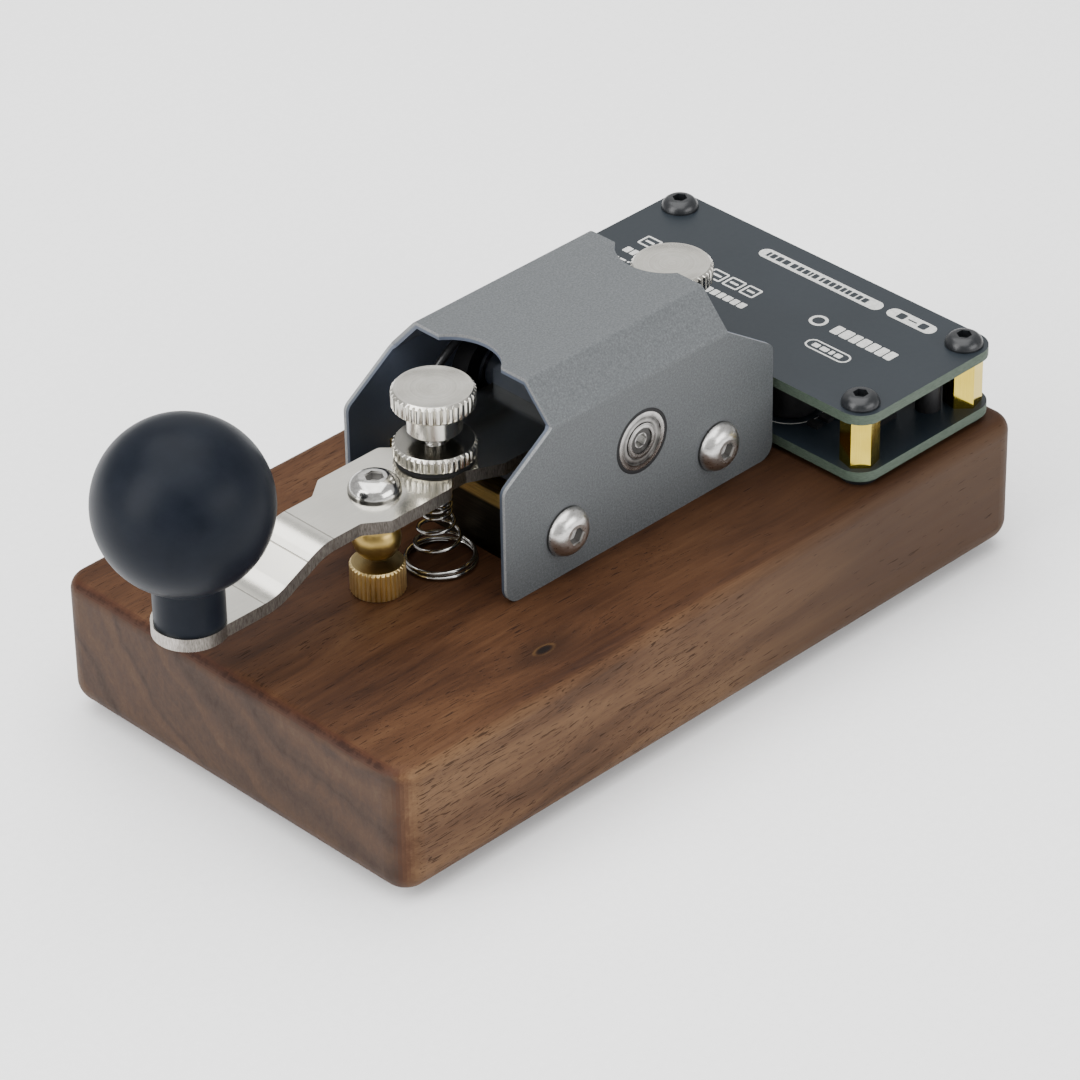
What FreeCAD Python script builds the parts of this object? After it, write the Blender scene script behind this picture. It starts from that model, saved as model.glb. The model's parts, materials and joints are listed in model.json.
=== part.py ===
import FreeCAD, Part
import math
import os

# Straight morse key on a walnut base: a rocker lever under a folded steel housing, with a small
# two-board sounder at the rear. Millimetres. The pieces are modelled with X = 0 at the middle of
# the base, Y = 0 in the plane of the lever and Z = 0 on the underside of the base; the finger
# knob is towards -X. save() then moves them so that the origin is the bottom centre of the key.

V = FreeCAD.Vector
UP = V(0, 0, 1)
DOWN = V(0, 0, -1)
SIDES = (-1, 1)

# Wooden base
BASE_LENGTH = 125.0
BASE_WIDTH = 70.0
BASE_HEIGHT = 21.0
BASE_CORNER_R = 4.0
BASE_TOP_R = 2.2
BASE_BOTTOM_R = 3.5
FOOT_R = 5.0
FOOT_HEIGHT = 1.5
FOOT_INSET = 11.0
REAR_FOOT_X = 45.6
COUNTERBORE_R = 3.5
COUNTERBORE_DEPTH = 12.0
WIRE_GROOVE_Y = 4.4
WIRE_GROOVE_WIDTH = 3.0
WIRE_GROOVE_DEPTH = 5.0

# Rocker lever
PIVOT_X = 2.6
PIVOT_Z = 35.9
LEVER_THICK = 2.0
LEVER_TOP = 37.5
KNOB_X = -67.9
TAB_TOP = 33.1
TAB_R = 5.4
STRIP_HALF = 4.9
BEND_START_X = -45.7
BEND_END_X = -58.8
BEND_R = 9.0
WIDE_HALF = 7.4
WIDE_FRONT_X = -40.8
WIDE_BACK_X = -26.0
WAIST_X = -24.3
WAIST_HALF = 5.7
FLARE_X = -16.5
PLATE_HALF = 8.2
TAIL_R = 5.2
CONTACT_GAP = 0.5

# Knob
BALL_R = 12.5
BALL_Z = 51.2
NECK_R = 5.0

# Contact pair
CONTACT_X = -33.6
CONTACT_BALL_R = 3.5
CONTACT_BALL_Z = 29.7
POST_R = 4.0

# Thumbscrews, M3 by 0.5 mm pitch
TENSION_X = -22.0
GAP_SCREW_X = 25.4
THUMB_R = 6.0
THUMB_HEIGHT = 3.0
COLLAR_R = 3.85
COLLAR_HEIGHT = 3.8
TENSION_HEAD_TOP = 49.0
GAP_HEAD_TOP = 48.6
NUT_HEIGHT = 2.4
NUT_WASHER = 0.5
NUT_WASHER_R = 5.6
FINE_CHAMFER = 0.3

# Threads, as plain shanks
M3_R = 1.5
M4_R = 2.0
RUNNING = 0.05

# Housing, folded from 1 mm sheet
SHEET = 1.0
HOUSING_HALF_WIDTH = 16.2
HOUSING_HALF_LENGTH = 26.9
HOUSING_TOP = 51.7
ROOF_HALF_WIDTH = 11.1
ROOF_HALF_LENGTH = 17.5
CHAMFER_Z = 46.0
SHOULDER_Z = 39.7
HOUSING_CORNER_R = 2.4
NOTCH_R = 7.6
NOTCH_CENTRE = 21.9
SIDE_SCREW_SPACING = 15.2
SIDE_SCREW_Z = 28.1
BLOCK_LENGTH = 8.0
BLOCK_TOP = 31.4
BLOCK_BOLT_Y = 10.5

# Pivot
SHAFT_R = 2.0
BEARING_OUTER_R = 4.5
BEARING_WIDTH = 4.0
RACE_R = 3.25
BEARING_BALL_R = 0.75
BEARING_BALLS = 7
SEAT_LIP_R = 5.05
SEAT_FLANGE_R = 7.0
HUB_HALF_LENGTH = 5.5
HUB_HALF_WIDTH = 8.0
HUB_TOP = 40.8
HUB_BOTTOM = 31.9
SHELF_REACH = 16.6
SHELF_THICK = 3.0
FIXING_OFFSET = 11.2
FIXING_Y = 4.6
FIXING_DEPTH = 1.6
COUNTERSUNK_R = 2.8
SLEEVE_R = 3.1

# Sounder boards
BOARD_FRONT_X = 30.9
BOARD_REAR_X = 60.4
BOARD_HALF_WIDTH = 32.25
BOARD_THICK = 1.6
BOARD_CORNER_R = 3.6
BOARD_INSET = 3.6
BOARD_WASHER = 1.0
STANDOFF_HEIGHT = 8.0
STANDOFF_FLATS = 5.0
STANDOFF_TURN = 15.7
BUZZER_X = 38.4
BUZZER_Y = -11.4
BUZZER_R = 4.3
BUZZER_HEIGHT = 5.5
JACK_Y = -1.0
JACK_LENGTH = 12.0
JACK_WIDTH = 6.4
JACK_HEIGHT = 5.0
JACK_BORE_R = 1.8
JACK_BORE_DEPTH = 10.5
SWITCH_Y = -18.6
SWITCH_LENGTH = 9.0
SWITCH_DEPTH = 3.6
SWITCH_HEIGHT = 3.6
SWITCH_TRAVEL = 2.0
CELL_X = 45.6
CELL_Y = 14.0
CELL_R = 10.0
CELL_HEIGHT = 3.2

# Wires
WIRE_R = 0.65
CONTACT_WIRE_X = 35.0
FRAME_WIRE_Y = 11.4

LOWER_BOARD_Z = BASE_HEIGHT + BOARD_WASHER
LOWER_TOP_Z = LOWER_BOARD_Z + BOARD_THICK
UPPER_BOARD_Z = LOWER_TOP_Z + STANDOFF_HEIGHT
UPPER_TOP_Z = UPPER_BOARD_Z + BOARD_THICK
LEVER_BOTTOM = LEVER_TOP - LEVER_THICK
TAB_BOTTOM = TAB_TOP - LEVER_THICK
POST_TOP = CONTACT_BALL_Z - CONTACT_BALL_R - CONTACT_GAP
NUT_BOTTOM = LEVER_TOP + NUT_WASHER
BLOCK_XS = (PIVOT_X - SIDE_SCREW_SPACING, PIVOT_X + SIDE_SCREW_SPACING)
STOP_POST_TOP = 28.5
INNER_WALL = HOUSING_HALF_WIDTH - SHEET
ORIGIN = V((KNOB_X - BALL_R + BASE_LENGTH / 2) / 2, 0, -FOOT_HEIGHT)


def box(x, y, z):
    """A block between the two ends of each (low, high) pair."""
    block = Part.makeBox(x[1] - x[0], y[1] - y[0], z[1] - z[0])
    block.translate(V(x[0], y[0], z[0]))
    return block


def rod(radius, start, end):
    """A round bar from one point to another."""
    axis = end - start
    return Part.makeCylinder(radius, axis.Length, start, axis)


def tube(outer, inner, start, end):
    return rod(outer, start, end).cut(rod(inner, start, end))


def hexagon(flats, start, end):
    """A hexagonal bar, measured across its flats."""
    corner_r = flats / math.sqrt(3)
    turns = [math.radians(60 * i) for i in range(7)]
    outline = Part.makePolygon([V(corner_r * math.cos(a), corner_r * math.sin(a), 0) for a in turns])
    length = (end - start).Length
    return place(Part.Face(outline).extrude(V(0, 0, length)), start, end - start)


def place(shape, position, direction):
    """Turn a shape made along +Z to a direction, and move it to a position."""
    placed = shape.copy()
    placed.Placement = FreeCAD.Placement(position, FreeCAD.Rotation(UP, direction)).multiply(placed.Placement)
    return placed


def lathe(points):
    """A solid turned about Z from (radius, height) points, straight from one to the next."""
    corners = [V(r, 0, z) for r, z in points]
    outline = Part.makePolygon(corners + [corners[0]])
    return Part.Face(outline).revolve(V(0, 0, 0), UP, 360)


def prism_xy(points, low, high):
    """An (x, y) outline raised from one height to another."""
    outline = Part.makePolygon([V(x, y, low) for x, y in points + points[:1]])
    return Part.Face(outline).extrude(V(0, 0, high - low))


def prism_xz(points, half_width):
    """An (x, z) outline pushed out to both sides of the middle plane."""
    outline = Part.makePolygon([V(x, -half_width, z) for x, z in points + points[:1]])
    return Part.Face(outline).extrude(V(0, 2 * half_width, 0))


def edges_where(shape, test):
    """The edges whose two ends and middle all pass a test."""
    chosen = []
    for edge in shape.Edges:
        spots = [vertex.Point for vertex in edge.Vertexes] + [edge.CenterOfMass]
        if all(test(spot) for spot in spots):
            chosen.append(edge)
    return chosen


def rounded_slab(x, half_width, z, radius):
    slab = box(x, (-half_width, half_width), z)
    upright = [e for e in slab.Edges if abs(e.tangentAt(e.FirstParameter).z) > 0.9]
    return slab.makeFillet(radius, upright)


def chamfered_disc(radius, low, high, chamfer=FINE_CHAMFER):
    rim = [(0, low), (radius - chamfer, low), (radius, low + chamfer)]
    return lathe(rim + [(radius, high - chamfer), (radius - chamfer, high), (0, high)])


def button_screw(shank_r, head_r, head_height, length, socket):
    """Button-head screw: the head's seat at Z = 0, the shank down to -length."""
    crown_r = 0.48 * head_r
    rim = 0.16 * head_height
    middle = V(0.82 * head_r, 0, 0.72 * head_height)
    dome = Part.Arc(V(head_r, 0, rim), middle, V(crown_r, 0, head_height)).toShape()
    straight = [V(crown_r, 0, head_height), V(0, 0, head_height), V(0, 0, -length)]
    straight += [V(shank_r, 0, -length), V(shank_r, 0, 0), V(head_r, 0, 0), V(head_r, 0, rim)]
    lines = [Part.LineSegment(a, b).toShape() for a, b in zip(straight, straight[1:])]
    outline = Part.Wire(Part.__sortEdges__([dome] + lines))
    screw = Part.Face(outline).revolve(V(0, 0, 0), UP, 360)
    return screw.cut(hexagon(socket, V(0, 0, 0.35 * head_height), V(0, 0, head_height + 1)))


def cap_bolt(shank_r, head_r, head_height, length, socket):
    """Socket cap bolt: the head's seat at Z = 0, the head above it, the shank down to -length."""
    bolt = chamfered_disc(head_r, 0, head_height, 0.25).fuse(rod(shank_r, V(0, 0, -length), V(0, 0, 0)))
    return bolt.cut(hexagon(socket, V(0, 0, 0.45 * head_height), V(0, 0, head_height + 1))).removeSplitter()


def group(shapes):
    return Part.makeCompound([solid for shape in shapes for solid in shape.Solids])


# ---- base ----

def block_bolt_spots():
    return [(x, side * BLOCK_BOLT_Y) for x in BLOCK_XS for side in SIDES]


def board_screw_spots():
    xs = (BOARD_FRONT_X + BOARD_INSET, BOARD_REAR_X - BOARD_INSET)
    y = BOARD_HALF_WIDTH - BOARD_INSET
    return [(x, side * y) for x in xs for side in SIDES]


def post_spots():
    return [(CONTACT_X, 0), (GAP_SCREW_X, 0)]


def wood_base():
    half = BASE_LENGTH / 2
    base = rounded_slab((-half, half), BASE_WIDTH / 2, (0, BASE_HEIGHT), BASE_CORNER_R)
    base = base.makeFillet(BASE_TOP_R, edges_where(base, lambda p: p.z > BASE_HEIGHT - 0.01))
    base = base.makeFillet(BASE_BOTTOM_R, edges_where(base, lambda p: p.z < 0.01))
    for x, y in block_bolt_spots() + board_screw_spots() + post_spots():
        base = base.cut(rod(M3_R + 0.1, V(x, y, -1), V(x, y, BASE_HEIGHT + 1)))
        base = base.cut(rod(COUNTERBORE_R, V(x, y, -1), V(x, y, COUNTERBORE_DEPTH)))
    groove_y = (WIRE_GROOVE_Y - WIRE_GROOVE_WIDTH / 2, WIRE_GROOVE_Y + WIRE_GROOVE_WIDTH / 2)
    base = base.cut(box((CONTACT_X, CONTACT_WIRE_X + 1.8), groove_y, (-1, WIRE_GROOVE_DEPTH)))
    riser = rod(1.8, V(CONTACT_WIRE_X, WIRE_GROOVE_Y, -1), V(CONTACT_WIRE_X, WIRE_GROOVE_Y, BASE_HEIGHT + 1))
    return base.cut(riser)


def rubber_feet():
    profile = chamfered_disc(FOOT_R, -FOOT_HEIGHT, 0, 0.4)
    xs = (FOOT_INSET - BASE_LENGTH / 2, REAR_FOOT_X)
    y = BASE_WIDTH / 2 - FOOT_INSET
    return group([profile.translated(V(x, side * y, 0)) for x in xs for side in SIDES])


def bottom_bolt(x, y, reach):
    """A cap bolt that comes up from its counterbore and reaches this far above the base."""
    length = BASE_HEIGHT - COUNTERBORE_DEPTH + reach
    return place(cap_bolt(M3_R, 2.75, 3.0, length, 2.5), V(x, y, COUNTERBORE_DEPTH), DOWN)


def block_bolts():
    return group([bottom_bolt(x, y, 7.0) for x, y in block_bolt_spots()])


def board_bolts():
    return group([bottom_bolt(x, y, 5.6) for x, y in board_screw_spots()])


def post_bolts():
    return group([bottom_bolt(x, y, 3.5) for x, y in post_spots()])


# ---- housing and its mounting blocks ----

def housing_section(inset, x_low, x_high):
    """The folded cross-section filled in, drawn inset mm inside the sheet's outer face."""
    slant = math.atan2(HOUSING_HALF_WIDTH - ROOF_HALF_WIDTH, HOUSING_TOP - CHAMFER_Z)
    side = HOUSING_HALF_WIDTH - inset
    chamfer_z = CHAMFER_Z - inset * math.tan(slant / 2)
    roof_half = ROOF_HALF_WIDTH - inset * math.tan((math.pi / 2 - slant) / 2)
    top = HOUSING_TOP - inset
    low = BASE_HEIGHT - (1 if inset else 0)
    half = [(side, low), (side, chamfer_z), (roof_half, top)]
    ring = [V(x_low, y, z) for y, z in half] + [V(x_low, -y, z) for y, z in reversed(half)]
    return Part.Face(Part.makePolygon(ring + ring[:1])).extrude(V(x_high - x_low, 0, 0))


def housing_end_profile():
    """The sheet's outline seen from the side, with its slanted shoulders at both ends."""
    half = [(HOUSING_HALF_LENGTH, BASE_HEIGHT), (HOUSING_HALF_LENGTH, SHOULDER_Z)]
    half += [(ROOF_HALF_LENGTH, CHAMFER_Z), (ROOF_HALF_LENGTH, HOUSING_TOP + 1)]
    points = [(PIVOT_X + x, z) for x, z in half] + [(PIVOT_X - x, z) for x, z in reversed(half)]
    profile = prism_xz(points, HOUSING_HALF_WIDTH + 1)

    def at(z, reach):
        return lambda p: abs(p.z - z) < 0.01 and abs(abs(p.x - PIVOT_X) - reach) < 0.01

    profile = profile.makeFillet(HOUSING_CORNER_R, edges_where(profile, at(BASE_HEIGHT, HOUSING_HALF_LENGTH)))
    return profile.makeFillet(1.6, edges_where(profile, at(SHOULDER_Z, HOUSING_HALF_LENGTH)))


def housing():
    x_low = PIVOT_X - HOUSING_HALF_LENGTH
    x_high = PIVOT_X + HOUSING_HALF_LENGTH
    outer = housing_section(0, x_low, x_high)
    long_folds = [e for e in outer.Edges if e.Length > 50 and e.CenterOfMass.z > BASE_HEIGHT + 1]
    shell = outer.makeFillet(1.2, long_folds).cut(housing_section(SHEET, x_low - 1, x_high + 1))
    shell = shell.common(housing_end_profile())
    for side in SIDES:
        centre = V(PIVOT_X + side * NOTCH_CENTRE, 0, CHAMFER_Z)
        shell = shell.cut(rod(NOTCH_R, centre, centre + V(0, 0, 10)))
        wall = V(0, side * 4, 0)
        pivot = V(PIVOT_X, side * (INNER_WALL - 1), PIVOT_Z)
        shell = shell.cut(rod(SEAT_LIP_R + 0.03, pivot, pivot + wall))
        for x in BLOCK_XS:
            screw = V(x, side * (INNER_WALL - 1), SIDE_SCREW_Z)
            shell = shell.cut(rod(M4_R + 0.1, screw, screw + wall))
    return shell


def mounting_block(x):
    """Brass bar across the base that the two side plates are screwed to."""
    half = BLOCK_LENGTH / 2
    bar = box((x - half, x + half), (-INNER_WALL, INNER_WALL), (BASE_HEIGHT, BLOCK_TOP))
    bar = bar.makeChamfer(FINE_CHAMFER, edges_where(bar, lambda p: p.z > BLOCK_TOP - 0.01))
    for side in SIDES:
        bolt = V(x, side * BLOCK_BOLT_Y, BASE_HEIGHT)
        bar = bar.cut(rod(M3_R + 0.02, bolt - V(0, 0, 1), bolt + V(0, 0, 7.2)))
        wall = V(x, side * (INNER_WALL + 1), SIDE_SCREW_Z)
        bar = bar.cut(rod(M4_R + 0.02, wall, wall - V(0, side * 3.6, 0)))
    return bar


def housing_screws():
    screw = button_screw(M4_R, 3.8, 2.2, 3.4, 2.5)
    spots = [(x, side) for x in BLOCK_XS for side in SIDES]
    return group([place(screw, V(x, s * HOUSING_HALF_WIDTH, SIDE_SCREW_Z), V(0, s, 0)) for x, s in spots])


# ---- pivot ----

def on_pivot(side, distance):
    return V(PIVOT_X, side * distance, PIVOT_Z)


def bearing_ring(outer, inner, side):
    inner_end = on_pivot(side, HOUSING_HALF_WIDTH - BEARING_WIDTH)
    ring = tube(outer, inner, inner_end, on_pivot(side, HOUSING_HALF_WIDTH))
    middle = on_pivot(side, HOUSING_HALF_WIDTH - BEARING_WIDTH / 2)
    return ring.cut(Part.makeTorus(RACE_R, BEARING_BALL_R + 0.03, middle, V(0, 1, 0)))


def bearing_outer_rings():
    return group([bearing_ring(BEARING_OUTER_R, 3.8, side) for side in SIDES])


def bearing_inner_rings():
    return group([bearing_ring(2.75, SHAFT_R + 0.02, side) for side in SIDES])


def bearing_balls():
    balls = []
    for side in SIDES:
        middle = on_pivot(side, HOUSING_HALF_WIDTH - BEARING_WIDTH / 2)
        for i in range(BEARING_BALLS):
            turn = 2 * math.pi * i / BEARING_BALLS
            offset = V(RACE_R * math.cos(turn), 0, RACE_R * math.sin(turn))
            balls.append(Part.makeSphere(BEARING_BALL_R, middle + offset))
    return group(balls)


def bearing_shields():
    outer_face = HOUSING_HALF_WIDTH - 0.15
    inner_face = HOUSING_HALF_WIDTH - BEARING_WIDTH + 0.15
    shields = []
    for side in SIDES:
        shields.append(tube(3.78, 2.85, on_pivot(side, outer_face - 0.25), on_pivot(side, outer_face)))
        shields.append(tube(3.78, 2.85, on_pivot(side, inner_face), on_pivot(side, inner_face + 0.25)))
    return group(shields)


def bearing_seats():
    """Black flanged cups that carry the bearings in the two side plates."""
    cups = []
    for side in SIDES:
        start = HOUSING_HALF_WIDTH - BEARING_WIDTH
        flange = rod(SEAT_FLANGE_R, on_pivot(side, start), on_pivot(side, INNER_WALL))
        lip = rod(SEAT_LIP_R, on_pivot(side, INNER_WALL), on_pivot(side, HOUSING_HALF_WIDTH))
        bore = rod(BEARING_OUTER_R, on_pivot(side, start - 1), on_pivot(side, HOUSING_HALF_WIDTH + 1))
        cups.append(flange.fuse(lip).cut(bore))
    return group(cups)


def pivot_shaft():
    reach = HOUSING_HALF_WIDTH - 0.25
    shaft = rod(SHAFT_R, on_pivot(-1, reach), on_pivot(1, reach))
    for side in SIDES:
        shaft = shaft.cut(hexagon(2.0, on_pivot(side, reach - 2), on_pivot(side, reach + 1)))
    return shaft


def pivot_sleeves():
    end = HOUSING_HALF_WIDTH - BEARING_WIDTH
    bore = SHAFT_R + 0.02
    return group([tube(SLEEVE_R, bore, on_pivot(s, HUB_HALF_WIDTH), on_pivot(s, end)) for s in SIDES])


def pivot_block():
    """Block on the shaft, with a shelf at each end for the lever plate and the tail plate."""
    hub = box((PIVOT_X - HUB_HALF_LENGTH, PIVOT_X + HUB_HALF_LENGTH), (-HUB_HALF_WIDTH, HUB_HALF_WIDTH),
              (HUB_BOTTOM, HUB_TOP))
    hub = hub.makeChamfer(0.8, edges_where(hub, lambda p: p.z > HUB_TOP - 0.01))
    shelf = box((PIVOT_X - SHELF_REACH, PIVOT_X + SHELF_REACH), (-HUB_HALF_WIDTH, HUB_HALF_WIDTH),
                (LEVER_BOTTOM - SHELF_THICK, LEVER_BOTTOM))
    block = hub.fuse(shelf).removeSplitter()
    block = block.cut(rod(SHAFT_R + 0.02, on_pivot(-1, 20), on_pivot(1, 20)))
    for cone, (x, y) in zip(fixing_cones(), fixing_spots()):
        block = block.cut(cone).cut(rod(M3_R, V(x, y, HUB_BOTTOM - 1), V(x, y, LEVER_BOTTOM + 1)))
    return block


def fixing_spots():
    xs = (PIVOT_X - FIXING_OFFSET, PIVOT_X + FIXING_OFFSET)
    return [(x, side * FIXING_Y) for x in xs for side in SIDES]


def fixing_cones():
    """Countersinks for the fixing screws, as solids under the shelves."""
    low = LEVER_BOTTOM - SHELF_THICK
    rise = COUNTERSUNK_R - M3_R
    cone = lathe([(0, low), (COUNTERSUNK_R, low), (M3_R, low + rise), (0, low + rise)])
    return [cone.translated(V(x, y, 0)) for x, y in fixing_spots()]


def lever_fixing_screws():
    """Countersunk screws from below, ending inside the two plates."""
    low = LEVER_BOTTOM - SHELF_THICK
    screws = []
    for cone, (x, y) in zip(fixing_cones(), fixing_spots()):
        screw = cone.fuse(rod(M3_R, V(x, y, low), V(x, y, LEVER_BOTTOM + FIXING_DEPTH)))
        screws.append(screw.cut(hexagon(2.0, V(x, y, low - 1), V(x, y, low + 1.1))))
    return group(screws)


# ---- lever ----

def lever_side_profile():
    """Side view of the plate, joggled down in two equal bends from the wide part to the tab."""
    run = BEND_START_X - BEND_END_X
    rise = 2 * BEND_R - (LEVER_TOP - TAB_TOP)
    slope = math.asin(2 * BEND_R / math.hypot(run, rise)) - math.atan2(rise, run)
    upper = V(BEND_START_X, 0, LEVER_TOP - BEND_R)
    lower = V(BEND_END_X, 0, TAB_TOP + BEND_R)

    def joggle(depth):
        """The two bends, this far below the top face: start, middle and end of each arc."""
        turns = (0, slope / 2, slope)
        first = [upper + V(-math.sin(a), 0, math.cos(a)) * (BEND_R - depth) for a in turns]
        second = [lower + V(math.sin(a), 0, -math.cos(a)) * (BEND_R + depth) for a in reversed(turns)]
        return first, second

    back = PIVOT_X - HUB_HALF_LENGTH - 0.02
    front = KNOB_X - TAB_R - 1
    edges = []
    ends = []
    for depth in (0, LEVER_THICK):
        first, second = joggle(depth)
        high = V(back, 0, LEVER_TOP - depth)
        low = V(front, 0, TAB_TOP - depth)
        edges += [Part.LineSegment(high, first[0]), Part.Arc(*first), Part.LineSegment(first[2], second[0])]
        edges += [Part.Arc(*second), Part.LineSegment(second[2], low)]
        ends.append((high, low))
    edges += [Part.LineSegment(a, b) for a, b in zip(*ends)]
    outline = Part.Wire(Part.__sortEdges__([e.toShape() for e in edges]))
    side = Part.Face(outline).translated(V(0, -2 * PLATE_HALF, 0))
    return side.extrude(V(0, 4 * PLATE_HALF, 0))


def with_fixing_holes(plate):
    """Blind tapped holes in the underside of a plate."""
    for x, y in fixing_spots():
        plate = plate.cut(rod(M3_R, V(x, y, BASE_HEIGHT), V(x, y, LEVER_BOTTOM + FIXING_DEPTH)))
    return plate


def lever_outline():
    """Plan view of the lever plate behind its round tab."""
    half = [(KNOB_X, STRIP_HALF), (WIDE_FRONT_X, STRIP_HALF), (WIDE_FRONT_X + 3.4, WIDE_HALF)]
    half += [(WIDE_BACK_X, WIDE_HALF), (WAIST_X, WAIST_HALF), (WAIST_X + 2.6, WAIST_HALF)]
    half += [(FLARE_X, PLATE_HALF), (PIVOT_X, PLATE_HALF)]
    return half + [(x, -y) for x, y in reversed(half)]


def lever_plate():
    plan = prism_xy(lever_outline(), BASE_HEIGHT, HUB_TOP)
    corners = [e for e in plan.Edges if abs(e.tangentAt(e.FirstParameter).z) > 0.9]
    soft = [e for e in corners if WIDE_FRONT_X - 1 < e.CenterOfMass.x < FLARE_X + 1]
    plan = plan.makeFillet(0.9, soft)
    plan = plan.fuse(rod(TAB_R, V(KNOB_X, 0, BASE_HEIGHT), V(KNOB_X, 0, HUB_TOP)))
    plate = lever_side_profile().common(plan)
    plate = plate.cut(rod(M4_R + 0.02, V(KNOB_X, 0, BASE_HEIGHT), V(KNOB_X, 0, LEVER_TOP)))
    plate = plate.cut(rod(M4_R + 0.02, V(CONTACT_X, 0, BASE_HEIGHT), V(CONTACT_X, 0, HUB_TOP)))
    plate = plate.cut(rod(M3_R + RUNNING, V(TENSION_X, 0, BASE_HEIGHT), V(TENSION_X, 0, HUB_TOP)))
    return with_fixing_holes(plate)


def tail_plate():
    """Plate behind the pivot that carries the gap thumbscrew."""
    front = PIVOT_X + HUB_HALF_LENGTH + 0.02
    shelf_end = PIVOT_X + SHELF_REACH
    half = [(front, HUB_HALF_WIDTH), (shelf_end - 1, HUB_HALF_WIDTH), (GAP_SCREW_X, TAIL_R)]
    plate = prism_xy(half + [(x, -y) for x, y in reversed(half)], LEVER_BOTTOM, LEVER_TOP)
    tip = rod(TAIL_R, V(GAP_SCREW_X, 0, LEVER_BOTTOM), V(GAP_SCREW_X, 0, LEVER_TOP))
    plate = plate.fuse(tip).removeSplitter()
    plate = plate.cut(rod(M3_R + RUNNING, V(GAP_SCREW_X, 0, 0), V(GAP_SCREW_X, 0, HUB_TOP)))
    return with_fixing_holes(plate)


def knob():
    """Ball on a short neck, with a threaded hole up its middle."""
    neck_top = BALL_Z - math.sqrt(BALL_R ** 2 - NECK_R ** 2)
    ball = Part.makeSphere(BALL_R, V(KNOB_X, 0, BALL_Z))
    neck = rod(NECK_R, V(KNOB_X, 0, TAB_TOP), V(KNOB_X, 0, BALL_Z))
    body = ball.fuse(neck)
    joint = edges_where(body, lambda p: abs(p.z - neck_top) < 0.05 or abs(p.x - KNOB_X) < 0.01)
    joint = [e for e in joint if abs(e.CenterOfMass.z - neck_top) < 0.05]
    body = body.makeFillet(0.8, joint)
    return body.cut(rod(M4_R + 0.02, V(KNOB_X, 0, TAB_TOP - 1), V(KNOB_X, 0, TAB_TOP + 9)))


def knob_screw():
    screw = button_screw(M4_R, 3.8, 2.2, LEVER_THICK + 8.5, 2.5)
    return place(screw, V(KNOB_X, 0, TAB_BOTTOM), DOWN)


# ---- contacts ----

def contact_screw():
    return button_screw(M4_R, 3.8, 2.2, LEVER_THICK + 4.0, 2.5).translated(V(CONTACT_X, 0, LEVER_TOP))


def contact_ball():
    """Brass ball with a short seat that is drawn up under the lever."""
    ball = Part.makeSphere(CONTACT_BALL_R, V(CONTACT_X, 0, CONTACT_BALL_Z))
    seat = rod(2.9, V(CONTACT_X, 0, CONTACT_BALL_Z), V(CONTACT_X, 0, LEVER_BOTTOM))
    bore = rod(M4_R + 0.02, V(CONTACT_X, 0, LEVER_BOTTOM - 4.2), V(CONTACT_X, 0, LEVER_TOP))
    return ball.fuse(seat).cut(bore)


def post(x, radius, top):
    body = chamfered_disc(radius, BASE_HEIGHT, top, 0.4).translated(V(x, 0, 0))
    return body.cut(rod(M3_R + 0.02, V(x, 0, BASE_HEIGHT - 1), V(x, 0, BASE_HEIGHT + 3.7)))


def contact_post():
    return post(CONTACT_X, POST_R, POST_TOP)


def stop_post():
    return post(GAP_SCREW_X, 3.0, STOP_POST_TOP)


# ---- thumbscrews and the spring ----

def thumb_head(x, top):
    """Knurled head with its collar, pressed on the upper end of the threaded shank."""
    knurl = chamfered_disc(THUMB_R, top - THUMB_HEIGHT, top, 0.35)
    collar_bottom = top - THUMB_HEIGHT - COLLAR_HEIGHT
    collar = chamfered_disc(COLLAR_R, collar_bottom, top - THUMB_HEIGHT + 0.5, 0.25)
    head = knurl.fuse(collar).removeSplitter()
    head = head.cut(rod(M3_R + RUNNING, V(0, 0, collar_bottom - 1), V(0, 0, top - 1.2)))
    return head.translated(V(x, 0, 0))


def thumb_shank(x, low, top):
    return rod(M3_R, V(x, 0, low), V(x, 0, top - 1.5))


def locknut(x):
    top = NUT_BOTTOM + NUT_HEIGHT
    nut = chamfered_disc(THUMB_R, NUT_BOTTOM, top, 0.35)
    bore = rod(M3_R + RUNNING, V(0, 0, NUT_BOTTOM - 1), V(0, 0, top + 1))
    return nut.cut(bore).translated(V(x, 0, 0))


def locknut_washers():
    washers = []
    for x in (TENSION_X, GAP_SCREW_X):
        washers.append(tube(NUT_WASHER_R, M3_R + 0.1, V(x, 0, LEVER_TOP), V(x, 0, NUT_BOTTOM)))
    return group(washers)


def tension_spring():
    """Conical wire spring, wide coil on the wood and narrow coil under the lever."""
    wire_r = 0.34
    wide_r = 4.8
    narrow_r = 2.2
    rise = LEVER_BOTTOM - BASE_HEIGHT - 2 * wire_r
    turns = 6
    angle = -math.degrees(math.atan2(wide_r - narrow_r, rise))
    helix = Part.makeHelix(rise / turns, rise, wide_r, angle)
    circle = Part.Wire([Part.makeCircle(wire_r, V(wide_r, 0, 0), V(0, 1, 0))])
    wire = Part.Wire(helix.Edges).makePipeShell([circle], True, True)
    return wire.translated(V(TENSION_X, 0, BASE_HEIGHT + wire_r))


# ---- sounder boards ----

def board(low):
    length = (BOARD_FRONT_X, BOARD_REAR_X)
    slab = rounded_slab(length, BOARD_HALF_WIDTH, (low, low + BOARD_THICK), BOARD_CORNER_R)
    for x, y in board_screw_spots():
        slab = slab.cut(rod(M3_R + 0.1, V(x, y, low - 1), V(x, y, low + BOARD_THICK + 1)))
    return slab


def lower_board():
    return board(LOWER_BOARD_Z)


def upper_board():
    return board(UPPER_BOARD_Z)


def board_washers():
    spots = board_screw_spots()
    return group([tube(2.8, M3_R + 0.1, V(x, y, BASE_HEIGHT), V(x, y, LOWER_BOARD_Z)) for x, y in spots])


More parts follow.
